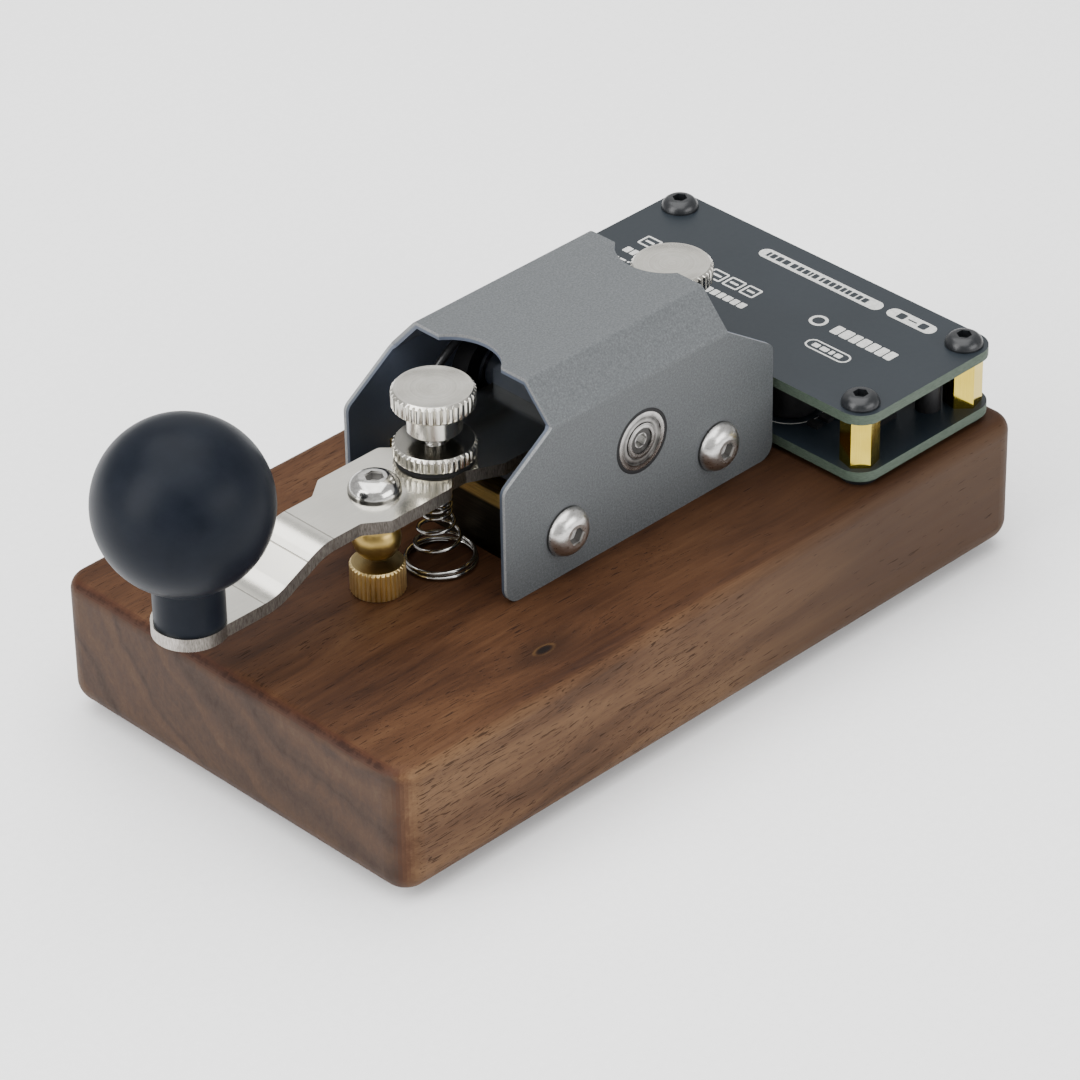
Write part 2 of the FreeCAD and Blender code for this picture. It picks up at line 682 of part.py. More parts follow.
def board_standoffs():
    pillars = []
    for x, y in board_screw_spots():
        pillar = hexagon(STANDOFF_FLATS, V(x, y, LOWER_TOP_Z), V(x, y, UPPER_BOARD_Z))
        pillar.rotate(V(x, y, 0), UP, STANDOFF_TURN)
        pillars.append(pillar.cut(rod(M3_R + 0.02, V(x, y, LOWER_TOP_Z - 1), V(x, y, UPPER_BOARD_Z + 1))))
    return group(pillars)


def board_screws():
    screw = button_screw(M3_R, 2.85, 1.65, BOARD_THICK + 3.5, 2.0)
    return group([screw.translated(V(x, y, UPPER_TOP_Z)) for x, y in board_screw_spots()])


def buzzer():
    """Round sounder can with a small hole in its top."""
    can = chamfered_disc(BUZZER_R, LOWER_TOP_Z, LOWER_TOP_Z + BUZZER_HEIGHT, 0.4)
    hole = rod(1.0, V(0, 0, LOWER_TOP_Z + BUZZER_HEIGHT - 1.5), V(0, 0, LOWER_TOP_Z + BUZZER_HEIGHT + 1))
    return can.cut(hole).translated(V(BUZZER_X, BUZZER_Y, 0))


def audio_jack():
    """3.5 mm socket on the rear edge of the lower board."""
    centre_z = LOWER_TOP_Z + JACK_HEIGHT / 2
    half = JACK_WIDTH / 2
    body = box((BOARD_REAR_X - JACK_LENGTH, BOARD_REAR_X), (JACK_Y - half, JACK_Y + half),
               (LOWER_TOP_Z, LOWER_TOP_Z + JACK_HEIGHT))
    mouth = V(BOARD_REAR_X + 1.0, JACK_Y, centre_z)
    body = body.fuse(rod(2.45, mouth - V(2, 0, 0), mouth))
    return body.cut(rod(JACK_BORE_R, mouth - V(JACK_BORE_DEPTH, 0, 0), mouth + V(1, 0, 0)))


def slide_switch():
    """Slide switch shell at the rear edge, open at the rear where its lever comes out."""
    half = SWITCH_LENGTH / 2
    rear = BOARD_REAR_X - 0.4
    top = LOWER_TOP_Z + SWITCH_HEIGHT
    shell = box((rear - SWITCH_DEPTH, rear), (SWITCH_Y - half, SWITCH_Y + half), (LOWER_TOP_Z, top))
    slot_half = (2.0 + SWITCH_TRAVEL + 0.4) / 2
    slot = box((rear - SWITCH_DEPTH + 0.6, rear + 1), (SWITCH_Y - slot_half, SWITCH_Y + slot_half),
               (LOWER_TOP_Z + 0.9, top - 0.9))
    return shell.cut(slot)


def switch_slider():
    """The switch's lever, at the off end of its slot."""
    rear = BOARD_REAR_X - 0.4
    y = SWITCH_Y + SWITCH_TRAVEL / 2
    return box((rear - SWITCH_DEPTH + 0.8, rear + 1.8), (y - 1, y + 1),
               (LOWER_TOP_Z + 1.0, LOWER_TOP_Z + SWITCH_HEIGHT - 1.0))


def coin_cell():
    low = LOWER_TOP_Z + 1.0
    return chamfered_disc(CELL_R, low, low + CELL_HEIGHT, 0.4).translated(V(CELL_X, CELL_Y, 0))


def cell_holder():
    """Open plastic tray with a lip round the cell."""
    height = 3.6
    reach = CELL_R + 1.2
    across = (CELL_X - reach, CELL_X + reach)
    tray = box(across, (CELL_Y - reach, CELL_Y + reach), (LOWER_TOP_Z, LOWER_TOP_Z + height))
    upright = [e for e in tray.Edges if abs(e.tangentAt(e.FirstParameter).z) > 0.9]
    tray = tray.makeFillet(3.0, upright)
    floor = V(CELL_X, CELL_Y, LOWER_TOP_Z + 1.0)
    well = rod(CELL_R + 0.1, floor, floor + V(0, 0, height))
    finger_gap = box((CELL_X - 4, CELL_X + 4), (CELL_Y - reach - 1, CELL_Y), (floor.z, floor.z + height))
    return tray.cut(well).cut(finger_gap)


def cell_clip():
    """Spring strip over the cell, with a foot on each side of the tray."""
    reach = CELL_R + 1.2
    over = LOWER_TOP_Z + 1.0 + CELL_HEIGHT
    x = (CELL_X - reach - 0.5, CELL_X + reach + 0.5)
    bridge = box(x, (CELL_Y - 2, CELL_Y + 2), (over, over + 0.4))
    feet = []
    for side in SIDES:
        edge = CELL_X + side * (reach + 0.25)
        feet.append(box((edge - 0.25, edge + 0.25), (CELL_Y - 2, CELL_Y + 2), (LOWER_TOP_Z, over + 0.4)))
    return bridge.fuse(feet).removeSplitter()


def board_chips():
    """Control chip, timing chip and a few passives on the lower board."""
    top = LOWER_TOP_Z
    chips = [box((42.5, 46.5), (-25, -20), (top, top + 1.5))]
    chips.append(box((48.5, 52.5), (-12.5, -7.5), (top, top + 1.2)))
    for i in range(4):
        chips.append(box((36.0 + 2.4 * i, 37.2 + 2.4 * i), (-19.0, -17.0), (top, top + 0.6)))
    chips.append(rod(1.9, V(51.8, -26.4, top), V(51.8, -26.4, top + 5.4)))
    return group(chips)


# ---- wires ----

def wire_along(name, points):
    """A round wire along straight runs joined by tangent arcs, each as large as its runs allow."""
    edges = []
    radii = []
    start = points[0]
    for before, corner, after in zip(points, points[1:], points[2:]):
        back = (before - corner).normalize()
        ahead = (after - corner).normalize()
        turn = math.pi - back.getAngle(ahead)
        shorter = min((before - corner).Length, (after - corner).Length)
        radius = 0.45 * shorter / math.tan(turn / 2)
        radii.append(radius)
        reach = radius * math.tan(turn / 2)
        first = corner + back * reach
        last = corner + ahead * reach
        centre_way = (back + ahead).normalize()
        middle = corner + centre_way * (radius / math.cos(turn / 2) - radius)
        edges.append(Part.LineSegment(start, first).toShape())
        edges.append(Part.Arc(first, middle, last).toShape())
        start = last
    edges.append(Part.LineSegment(start, points[-1]).toShape())
    spine = Part.Wire(edges)
    bends = " ".join(f"{radius:.1f}" for radius in radii)
    print(f"{name}: diameter {2 * WIRE_R}, length {spine.Length:.1f}, bend radii {bends}")
    profile = Part.Wire([Part.makeCircle(WIRE_R, points[0], points[1] - points[0])])
    return spine.makePipeShell([profile], True, False)


def contact_wire():
    """Runs in the groove under the base, from the contact post's bolt to the lower board."""
    x = CONTACT_WIRE_X
    y = WIRE_GROOVE_Y
    z = 2.2
    points = [V(CONTACT_X, y, z), V(-12, y + 0.3, z), V(12, y - 0.3, z), V(x - 4, y, z)]
    points += [V(x, y, z + 2.4), V(x + 0.2, y, 12), V(x, y, LOWER_BOARD_Z)]
    return wire_along("contact_wire", points)


def frame_wire():
    """From the front mounting block, up over the pivot inside the housing and down to the board."""
    y = FRAME_WIRE_Y
    points = [V(-12.6, y + 0.4, BLOCK_TOP), V(-12.9, y + 0.4, 36.5), V(-11.2, y, 41.8)]
    points.append(V(-6.2, y - 0.5, 45.8))
    points += [V(2.0, y, 46.8), V(12.0, y + 0.2, 44.6), V(19.5, y, 37.5), V(26.0, y - 0.4, 30.0)]
    points += [V(31.5, y - 4.0, 26.6), V(34.0, y - 8.0, LOWER_TOP_Z)]
    return wire_along("frame_wire", points)


# ---- export ----

PIECES = {
    "wood_base": wood_base,
    "rubber_feet": rubber_feet,
    "block_bolts": block_bolts,
    "board_bolts": board_bolts,
    "post_bolts": post_bolts,
    "housing": housing,
    "front_mounting_block": lambda: mounting_block(BLOCK_XS[0]),
    "rear_mounting_block": lambda: mounting_block(BLOCK_XS[1]),
    "housing_screws": housing_screws,
    "bearing_outer_rings": bearing_outer_rings,
    "bearing_inner_rings": bearing_inner_rings,
    "bearing_balls": bearing_balls,
    "bearing_shields": bearing_shields,
    "bearing_seats": bearing_seats,
    "pivot_shaft": pivot_shaft,
    "pivot_sleeves": pivot_sleeves,
    "pivot_block": pivot_block,
    "lever_plate": lever_plate,
    "tail_plate": tail_plate,
    "lever_fixing_screws": lever_fixing_screws,
    "knob": knob,
    "knob_screw": knob_screw,
    "contact_screw": contact_screw,
    "contact_ball": contact_ball,
    "contact_post": contact_post,
    "stop_post": stop_post,
    "tension_head": lambda: thumb_head(TENSION_X, TENSION_HEAD_TOP),
    "tension_shank": lambda: thumb_shank(TENSION_X, LEVER_BOTTOM - 1.5, TENSION_HEAD_TOP),
    "tension_locknut": lambda: locknut(TENSION_X),
    "gap_head": lambda: thumb_head(GAP_SCREW_X, GAP_HEAD_TOP),
    "gap_shank": lambda: thumb_shank(GAP_SCREW_X, STOP_POST_TOP + 0.03, GAP_HEAD_TOP),
    "gap_locknut": lambda: locknut(GAP_SCREW_X),
    "locknut_washers": locknut_washers,
    "tension_spring": tension_spring,
    "lower_board": lower_board,
    "upper_board": upper_board,
    "board_washers": board_washers,
    "board_standoffs": board_standoffs,
    "board_screws": board_screws,
    "buzzer": buzzer,
    "audio_jack": audio_jack,
    "slide_switch": slide_switch,
    "switch_slider": switch_slider,
    "coin_cell": coin_cell,
    "cell_holder": cell_holder,
    "cell_clip": cell_clip,
    "board_chips": board_chips,
    "contact_wire": contact_wire,
    "frame_wire": frame_wire,
}


def save(name, shape):
    moved = shape.translated(ORIGIN * -1)
    count = len(moved.Solids)
    print(f"{name:24s} solids {count:2d}  volume {moved.Volume:10.2f}  valid {moved.isValid()}")
    moved.exportStep(f"parts/{name}.step")


os.makedirs("parts", exist_ok=True)
for piece_name, make in PIECES.items():
    save(piece_name, make())
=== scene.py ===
import json
import math

import bpy
from mathutils import Matrix, Vector


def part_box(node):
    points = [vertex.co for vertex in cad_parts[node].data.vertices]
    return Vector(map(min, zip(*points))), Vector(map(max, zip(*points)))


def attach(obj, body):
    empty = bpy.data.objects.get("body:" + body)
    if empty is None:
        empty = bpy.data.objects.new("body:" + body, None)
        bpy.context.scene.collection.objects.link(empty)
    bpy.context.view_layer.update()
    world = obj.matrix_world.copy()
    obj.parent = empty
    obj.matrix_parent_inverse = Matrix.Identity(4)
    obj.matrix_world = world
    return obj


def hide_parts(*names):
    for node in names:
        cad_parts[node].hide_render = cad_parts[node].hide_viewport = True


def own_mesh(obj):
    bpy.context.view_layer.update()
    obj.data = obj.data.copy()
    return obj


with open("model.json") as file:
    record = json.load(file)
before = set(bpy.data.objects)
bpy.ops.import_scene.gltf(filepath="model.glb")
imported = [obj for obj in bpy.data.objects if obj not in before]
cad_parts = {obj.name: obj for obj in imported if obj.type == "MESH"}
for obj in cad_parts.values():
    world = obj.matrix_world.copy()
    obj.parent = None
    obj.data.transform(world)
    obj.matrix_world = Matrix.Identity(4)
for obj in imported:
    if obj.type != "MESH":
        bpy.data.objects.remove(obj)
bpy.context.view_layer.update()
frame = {"nodes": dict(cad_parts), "record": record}

MM = 0.001


# ---- reading places from the frame, in millimetres ----

def extent(node):
    """Low and high corners of a CAD node's box."""
    low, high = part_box(node)
    return low / MM, high / MM


def middle(node):
    low, high = extent(node)
    return (low + high) / 2


BASE_LOW, BASE_HIGH = extent("wood_base")
BASE_MIDDLE = (BASE_LOW + BASE_HIGH) / 2
BASE_TOP = BASE_HIGH.z
HOUSING_LOW, HOUSING_HIGH = extent("housing")
PIVOT = middle("pivot_shaft")


# ---- places and colours that the materials share ----

KNOT = Vector((BASE_MIDDLE.x - 28.1, BASE_LOW.y + 7.7, BASE_TOP))
KNOT_STRETCH = 0.22
HEART = Vector((BASE_MIDDLE.x, BASE_LOW.y + 5.0, BASE_TOP + 36.0))
RING_WOBBLE = 13.0
GRAIN_WAVER = 8.0
GRAIN_SLOPE = 0.035

# The sheet's slanted panels run this far outwards and down from the edges of its roof.
FOLD_OUT = 5.1
FOLD_DOWN = 5.7
ROOF_HALF = 11.1
COAT_SKIN = 0.5

LEVER_FRONT = extent("lever_plate")[0].x
PRESS_MARKS = (14.5, 22.5, 27.4)
SCREW_REACH = (extent("housing_screws")[1].x - extent("housing_screws")[0].x) / 2 - 3.8

# Ramps from dark to light: how far along the ramp, and the colour there.
TOP_WOOD = (
    (0.24, (0.0150, 0.0060, 0.0034)),
    (0.42, (0.0370, 0.0152, 0.0068)),
    (0.58, (0.0600, 0.0262, 0.0116)),
    (0.82, (0.0980, 0.0490, 0.0225)),
)
SIDE_WOOD = (
    (0.20, (0.0280, 0.0130, 0.0065)),
    (0.42, (0.0690, 0.0335, 0.0160)),
    (0.60, (0.1080, 0.0585, 0.0290)),
    (0.85, (0.1620, 0.0960, 0.0510)),
)
END_WOOD = (
    (0.28, (0.0230, 0.0140, 0.0105)),
    (0.44, (0.0390, 0.0240, 0.0175)),
    (0.58, (0.0530, 0.0305, 0.0195)),
    (0.74, (0.0720, 0.0450, 0.0295)),
)
COAT_GREYS = (
    (0.36, (0.040, 0.0440, 0.0470)),
    (0.52, (0.066, 0.0720, 0.0760)),
    (0.68, (0.100, 0.1070, 0.1120)),
)

# Painted shade: the top and near side are darkened towards these at the rear, where the housing and
# boards stand over the wood.
TOP_WOOD_REAR_SHADE = (0.0170, 0.0080, 0.0042)
SIDE_WOOD_REAR_SHADE = (0.0400, 0.0220, 0.0130)
# Painted shade on the rounded front edges of the wood.
RIM_SHADE_RED = (0.0400, 0.0145, 0.0085)
RIM_SHADE_DARK = (0.0150, 0.0060, 0.0040)
PORE = (0.0120, 0.0055, 0.0036)
KNOT_HALO = (0.0150, 0.0062, 0.0032)
KNOT_RING = (0.105, 0.0560, 0.0200)
KNOT_EYE = (0.0050, 0.0032, 0.0028)
COAT_SPECK = (0.19, 0.20, 0.21)
COAT_CLOUD = (0.060, 0.065, 0.070)
COAT_BARE = (0.200, 0.205, 0.208)
LINING_FRONT = (0.0240, 0.0320, 0.0470)
# Painted light: the inside of the sheet is made lighter deeper in, standing in for light reaching it.
LINING_DEEP_PAINTED_LIGHT = (0.0650, 0.0800, 0.1150)
# Painted glint and painted shade in the screws' hexagon sockets.
SOCKET_GLINT = (0.90, 0.885, 0.860)
SOCKET_SHADE = (0.030, 0.029, 0.028)
NICKEL_DARK = (0.50, 0.480, 0.430)
NICKEL_LIGHT = (0.68, 0.660, 0.600)
BRASS_DARK = (0.36, 0.240, 0.075)
BRASS_LIGHT = (0.60, 0.430, 0.150)
POST_DARK = (0.58, 0.430, 0.190)
POST_LIGHT = (0.84, 0.650, 0.310)
BALL_DARK = (0.25, 0.170, 0.052)
BALL_LIGHT = (0.43, 0.310, 0.105)
STANDOFF_DARK = (0.46, 0.340, 0.040)
STANDOFF_LIGHT = (0.66, 0.510, 0.080)
# Painted shade and painted reflection: the bearing's races and shields are ringed in these, dark against
# bright.
RACE_RING_SHADE = (0.020, 0.020, 0.019)
RACE_RING_GLINT = (0.74, 0.725, 0.700)
SHIELD_RING_SHADE = (0.006, 0.006, 0.006)
SHIELD_RING_GLINT = (0.55, 0.540, 0.520)
PLASTIC_DARK = (0.004, 0.004, 0.005)
PLASTIC_LIGHT = (0.010, 0.010, 0.011)
OXIDE_DARK = (0.005, 0.006, 0.007)
OXIDE_LIGHT = (0.012, 0.013, 0.015)
BLOCK_DARK = (0.016, 0.020, 0.029)
BLOCK_LIGHT = (0.028, 0.034, 0.046)
STEEL_DARK = (0.46, 0.450, 0.430)
STEEL_LIGHT = (0.62, 0.610, 0.590)


# ---- materials ----

SHADER_SOCKETS = {
    "colour": "Base Color",
    "metal": "Metallic",
    "rough": "Roughness",
    "normal": "Normal",
    "specular": "Specular IOR Level",
}
# The Mix node lists its sockets for every data type; these are the three for colours.
MIX_COLOUR_A = 6
MIX_COLOUR_B = 7
MIX_COLOUR_OUT = 2


class Finish:
    """One procedural material, with short calls for wiring its nodes."""

    def __init__(self, name):
        self.material = bpy.data.materials.new(name)
        self.material.use_nodes = True
        self.tree = self.material.node_tree
        self.shader = self.tree.nodes["Principled BSDF"]

    def add(self, kind, **settings):
        node = self.tree.nodes.new(kind)
        for key, value in settings.items():
            setattr(node, key, value)
        return node

    def feed(self, socket, value):
        """Link an output to a socket, or set the socket's own value."""
        if isinstance(value, bpy.types.NodeSocket):
            self.tree.links.new(value, socket)
        elif isinstance(value, tuple) and len(value) == 3 and socket.type == "RGBA":
            socket.default_value = (*value, 1)
        else:
            socket.default_value = value

    def place(self):
        """The point on the piece in millimetres, fixed to the piece."""
        coordinates = self.add("ShaderNodeTexCoord")
        scale = self.add("ShaderNodeVectorMath", operation="SCALE")
        self.feed(scale.inputs[0], coordinates.outputs["Object"])
        scale.inputs["Scale"].default_value = 1 / MM
        return scale.outputs[0]

    def axes(self, vector):
        split = self.add("ShaderNodeSeparateXYZ")
        self.feed(split.inputs[0], vector)
        return split.outputs

    def vector(self, x, y, z):
        join = self.add("ShaderNodeCombineXYZ")
        for socket, value in zip(join.inputs, (x, y, z)):
            self.feed(socket, value)
        return join.outputs[0]

    def stretched(self, vector, scales):
        multiply = self.add("ShaderNodeVectorMath", operation="MULTIPLY")
        self.feed(multiply.inputs[0], vector)
        multiply.inputs[1].default_value = scales
        return multiply.outputs[0]

    def noise(self, vector, scale, detail=3.0, roughness=0.55, distortion=0.0):
        noise = self.add("ShaderNodeTexNoise")
        self.feed(noise.inputs["Vector"], vector)
        noise.inputs["Scale"].default_value = scale
        noise.inputs["Detail"].default_value = detail
        noise.inputs["Roughness"].default_value = roughness
        noise.inputs["Distortion"].default_value = distortion
        return noise.outputs[0]

    def math(self, operation, a, b=0.0, c=0.0):
        node = self.add("ShaderNodeMath", operation=operation)
        for socket, value in zip(node.inputs, (a, b, c)):
            self.feed(socket, value)
        return node.outputs[0]

    def times(self, a, b):
        return self.math("MULTIPLY", a, b)

    def plus(self, a, b):
        return self.math("ADD", a, b)

    def minus(self, a, b):
        return self.math("SUBTRACT", a, b)

    def larger(self, a, b):
        return self.math("MAXIMUM", a, b)

    def unsigned(self, a):
        return self.math("ABSOLUTE", a)

    def scaled(self, value, factor, offset):
        return self.math("MULTIPLY_ADD", value, factor, offset)

    def length(self, a, b):
        """Length of the flat vector (a, b)."""
        return self.math("SQRT", self.plus(self.times(a, a), self.times(b, b)))

    def step(self, value, low, high, out_low=0.0, out_high=1.0):
        """A smooth rise from out_low to out_high as value goes from low to high."""
        node = self.add("ShaderNodeMapRange", interpolation_type="SMOOTHSTEP")
        for socket, given in zip(node.inputs, (value, low, high, out_low, out_high)):
            self.feed(socket, given)
        return node.outputs[0]

    def ramp(self, value, stops):
        node = self.add("ShaderNodeValToRGB")
        self.feed(node.inputs[0], value)
        elements = node.color_ramp.elements
        while len(elements) < len(stops):
            elements.new(0.5)
        for element, (position, colour) in zip(elements, stops):
            element.position = position
            element.color = (*colour, 1)
        return node.outputs[0]

    def mix(self, share, a, b):
        """Colour a where share is 0, colour b where it is 1."""
        node = self.add("ShaderNodeMix", data_type="RGBA")
        self.feed(node.inputs[0], share)
        self.feed(node.inputs[MIX_COLOUR_A], a)
        self.feed(node.inputs[MIX_COLOUR_B], b)
        return node.outputs[MIX_COLOUR_OUT]

    def bump(self, height, distance_mm, strength=1.0):
        node = self.add("ShaderNodeBump")
        self.feed(node.inputs["Height"], height)
        node.inputs["Distance"].default_value = distance_mm * MM
        node.inputs["Strength"].default_value = strength
        return node.outputs[0]

    def facing(self):
        """The surface's own direction, as three parts from 0 to 1 without sign."""
        geometry = self.add("ShaderNodeNewGeometry")
        absolute = self.add("ShaderNodeVectorMath", operation="ABSOLUTE")
        self.feed(absolute.inputs[0], geometry.outputs["True Normal"])
        return self.axes(absolute.outputs[0])

    def set(self, **sockets):
        for key, value in sockets.items():
            self.feed(self.shader.inputs[SHADER_SOCKETS[key]], value)
        return self.material


def growth_radius(f, y, z, drift):
    """Distance from the heart of the log, which lay above the near half of the board."""
    reach = f.length(f.minus(y, HEART.y), f.minus(z, HEART.z))
    return f.scaled(drift, RING_WOBBLE, reach)


def knot_distance(f, x, y):
    """Distance from the knot on the top face, stretched along the grain."""
    along = f.minus(x, KNOT.x)
    across = f.minus(y, KNOT.y)
    squares = f.plus(f.times(f.times(along, along), KNOT_STRETCH), f.times(across, across))
    return f.math("SQRT", squares)


def wood_grain(f, place, pull):
    """The point with the grain's waver taken out, and its distance from the heart of the log."""
    x, y, z = f.axes(place)
    drift = f.noise(f.stretched(place, (0.016, 0.05, 0.05)), 1.0, 3)
    waver = f.plus(f.scaled(drift, GRAIN_WAVER, pull), f.times(x, GRAIN_SLOPE))
    grain = f.vector(x, f.plus(y, waver), f.minus(z, waver))
    return grain, f.plus(growth_radius(f, y, z, drift), pull)


def growth_rings(f, x, radius):
    """Broad growth rings and the narrow late ones between them."""
    wide = f.vector(f.times(radius, 0.115), f.times(x, 0.004), 0.0)
    narrow = f.vector(f.times(radius, 0.42), f.times(x, 0.010), 7.0)
    return f.noise(wide, 1.0, 2, 0.55), f.noise(narrow, 1.0, 2, 0.5)


def long_grain_tone(f, bands, streaks, fibre, cloud):
    """Dark to light on the faces that run along the grain."""
    tone = f.scaled(bands, 0.40, 0.30)
    for part, weight in ((streaks, 0.50), (fibre, 0.34), (cloud, 0.60)):
        tone = f.plus(tone, f.scaled(part, weight, -weight / 2))
    return tone


def end_grain_tone(f, bands, late_bands, mottle):
    tone = f.plus(bands, f.scaled(late_bands, 0.45, -0.225))
    return f.plus(tone, f.scaled(mottle, 0.44, -0.22))


def wood_faces(f, x, facing, near_face, tone, end_tone):
    """The colours of the top, the near side and the end grain, the first two darkened towards the rear
    with painted shade.
    """
    # rear is a painted shade mask that rises towards the rear of the wood.
    rear = f.step(x, BASE_MIDDLE.x - 22.0, BASE_HIGH.x - 26.0)
    side = f.mix(f.times(rear, 0.80), f.ramp(tone, SIDE_WOOD), SIDE_WOOD_REAR_SHADE)
    top = f.mix(f.times(rear, 0.55), f.ramp(tone, TOP_WOOD), TOP_WOOD_REAR_SHADE)
    return f.mix(f.step(facing[0], 0.60, 0.88), f.mix(near_face, top, side), f.ramp(end_tone, END_WOOD))


def with_rim_shade(f, colour, facing, mottle):
    """Painted shade along the rounded front edges: a reddish band and a thin dark line, broken up by the
    mottle.
    """
    across_top = f.times(facing[0], facing[2])
    down_corner = f.times(f.times(facing[0], facing[1]), 0.84)
    # rim peaks where the surface turns through the rounded edges, and the painted shade follows it.
    rim = f.plus(f.larger(across_top, down_corner), f.scaled(mottle, 0.34, -0.17))
    colour = f.mix(f.step(rim, 0.30, 0.44, 0.0, 0.55), colour, RIM_SHADE_RED)
    return f.mix(f.step(rim, 0.44, 0.54, 0.0, 0.75), colour, RIM_SHADE_DARK)


def wood_pores(f, grain, density):
    """Short dark dashes along the grain, in two sizes."""
    dashes = f.noise(f.stretched(grain, (0.30, 4.6, 4.6)), 1.0, 1, 0.5)
    flecks = f.noise(f.stretched(grain, (0.75, 7.5, 7.5)), 1.0, 1, 0.5)
    level = f.scaled(density, -0.15, 0.71)
    long_ones = f.step(f.minus(dashes, level), 0.0, 0.06)
    short_ones = f.step(f.minus(flecks, level), 0.02, 0.08)
    return f.larger(long_ones, f.times(short_ones, 0.6))


def visible_pores(f, grain, x, facing, near_face, cloud):
    """Pores are densest along the near side, and fade to the rear and on the end grain."""
    busy = f.step(x, BASE_MIDDLE.x + 16.0, BASE_MIDDLE.x - 12.0, 0.15, 1.0)
    density = f.times(f.times(cloud, busy), f.scaled(near_face, 0.55, 0.85))
    return f.times(wood_pores(f, grain, density), f.step(facing[0], 0.12, 0.45, 1.0, 0.0))


def with_knot(f, colour, knot_reach, on_top, streaks):
    """The small knot: a smoky halo, a broken pale ring and a dark eye."""
    halo = f.times(f.step(knot_reach, 0.9, 4.2, 0.70, 0.0), on_top)
    colour = f.mix(halo, colour, KNOT_HALO)
    ring = f.times(f.step(knot_reach, 0.55, 0.8), f.step(knot_reach, 0.8, 1.1, 0.45, 0.0))
    broken = f.times(ring, f.step(streaks, 0.42, 0.60))
    colour = f.mix(f.times(broken, on_top), colour, KNOT_RING)
    eye = f.times(f.step(knot_reach, 0.35, 0.95, 0.95, 0.0), on_top)
    return f.mix(eye, colour, KNOT_EYE)


def walnut():
    """Oiled walnut sawn along X, redder on top, tan along the near side, greyer on the end grain."""
    f = Finish("walnut_oiled")
    place = f.place()
    x, y, z = f.axes(place)
    facing = f.facing()
    near_face = f.step(facing[1], 0.35, 0.85)
    knot_reach = knot_distance(f, x, y)
    pull = f.step(knot_reach, 0.0, 9.0, 2.6, 0.0)
    grain, radius = wood_grain(f, place, pull)
    bands, late_bands = growth_rings(f, x, radius)
    streaks = f.noise(f.stretched(grain, (0.024, 0.36, 0.36)), 1.0, 3, 0.6)
    fibre = f.noise(f.stretched(grain, (0.10, 2.4, 2.4)), 1.0, 4, 0.65)
    cloud = f.noise(f.stretched(place, (0.030, 0.055, 0.055)), 1.0, 3)
    mottle = f.noise(f.stretched(place, (0.9, 0.9, 0.55)), 0.8, 5, 0.7, 0.6)
    tone = long_grain_tone(f, bands, streaks, fibre, cloud)
    end_tone = end_grain_tone(f, bands, late_bands, mottle)
    colour = wood_faces(f, x, facing, near_face, tone, end_tone)
    colour = with_rim_shade(f, colour, facing, mottle)
    pores = visible_pores(f, grain, x, facing, near_face, cloud)
    colour = f.mix(f.times(pores, 0.72), colour, PORE)
    on_top = f.times(f.step(facing[2], 0.6, 0.9), f.step(z, BASE_TOP - 3.0, BASE_TOP - 1.0))
    colour = with_knot(f, colour, knot_reach, on_top, streaks)
    rough = f.scaled(pores, 0.2, f.scaled(fibre, 0.25, 0.42))
    height = f.minus(f.times(fibre, 0.25), pores)
    return f.set(colour=colour, rough=rough, normal=f.bump(height, 0.025, 0.5), specular=0.10)


def inside_sheet(f, y, z):
    """1 within the folded sheet's inner faces, 0 on its outer ones."""
    y_out = f.unsigned(f.minus(y, PIVOT.y))
    slant = math.atan2(FOLD_OUT, FOLD_DOWN)
    wall = HOUSING_HIGH.y - COAT_SKIN
    roof = HOUSING_HIGH.z - COAT_SKIN
    fold = ROOF_HALF * math.cos(slant) + HOUSING_HIGH.z * math.sin(slant) - COAT_SKIN
    across_fold = f.plus(f.times(y_out, math.cos(slant)), f.times(z, math.sin(slant)))
    inside = f.times(f.step(y_out, wall - 0.1, wall + 0.1, 1.0, 0.0),
                     f.step(z, roof - 0.1, roof + 0.1, 1.0, 0.0))
    return f.times(inside, f.step(across_fold, fold - 0.1, fold + 0.1, 1.0, 0.0))


def powder_coat():
    """Fine-grained grey powder coat outside the folded sheet, dark inside it with painted light deeper
    in, paler on the cut edges.
    """
    f = Finish("powder_coat_grey")
    p = f.place()
    x, y, z = f.axes(p)
    grain = f.noise(p, 3.4, 4, 0.75)
    speck = f.noise(p, 5.5, 2, 0.6)
    cloud = f.noise(p, 0.09, 2)
    coat = f.ramp(grain, COAT_GREYS)
    coat = f.mix(f.times(f.step(speck, 0.64, 0.72), 0.30), coat, COAT_SPECK)
    coat = f.mix(f.times(cloud, 0.12), coat, COAT_CLOUD)
    cut_edge = f.step(f.facing()[0], 0.22, 0.42)
    bare = f.times(cut_edge, f.step(speck, 0.35, 0.60, 0.35, 0.85))
    coat = f.mix(bare, coat, COAT_BARE)
    # Painted light: the dark inside turns lighter deeper into the housing.
    deep_painted_light = f.step(x, HOUSING_LOW.x + 2.0, HOUSING_LOW.x + 14.0)
    lining = f.mix(deep_painted_light, LINING_FRONT, LINING_DEEP_PAINTED_LIGHT)
    colour = f.mix(inside_sheet(f, y, z), coat, lining)
    rough = f.scaled(grain, 0.24, 0.44)
    normal = f.bump(grain, 0.05, 0.6)
    return f.set(colour=colour, rough=rough, normal=normal, metal=0.0, specular=0.55)


def knob_paint():
    """Smooth matt navy black with a faint cloudiness from handling."""
    f = Finish("knob_matt_black")
    p = f.place()
    cloud = f.noise(p, 0.22, 3)
    pores = f.noise(p, 6.0, 3, 0.6)
    colour = f.ramp(cloud, [(0.3, (0.0040, 0.0056, 0.0094)), (0.7, (0.0062, 0.0082, 0.0128))])
    rough = f.scaled(cloud, 0.12, 0.34)
    return f.set(colour=colour, rough=rough, normal=f.bump(pores, 0.004, 0.3), specular=0.085)


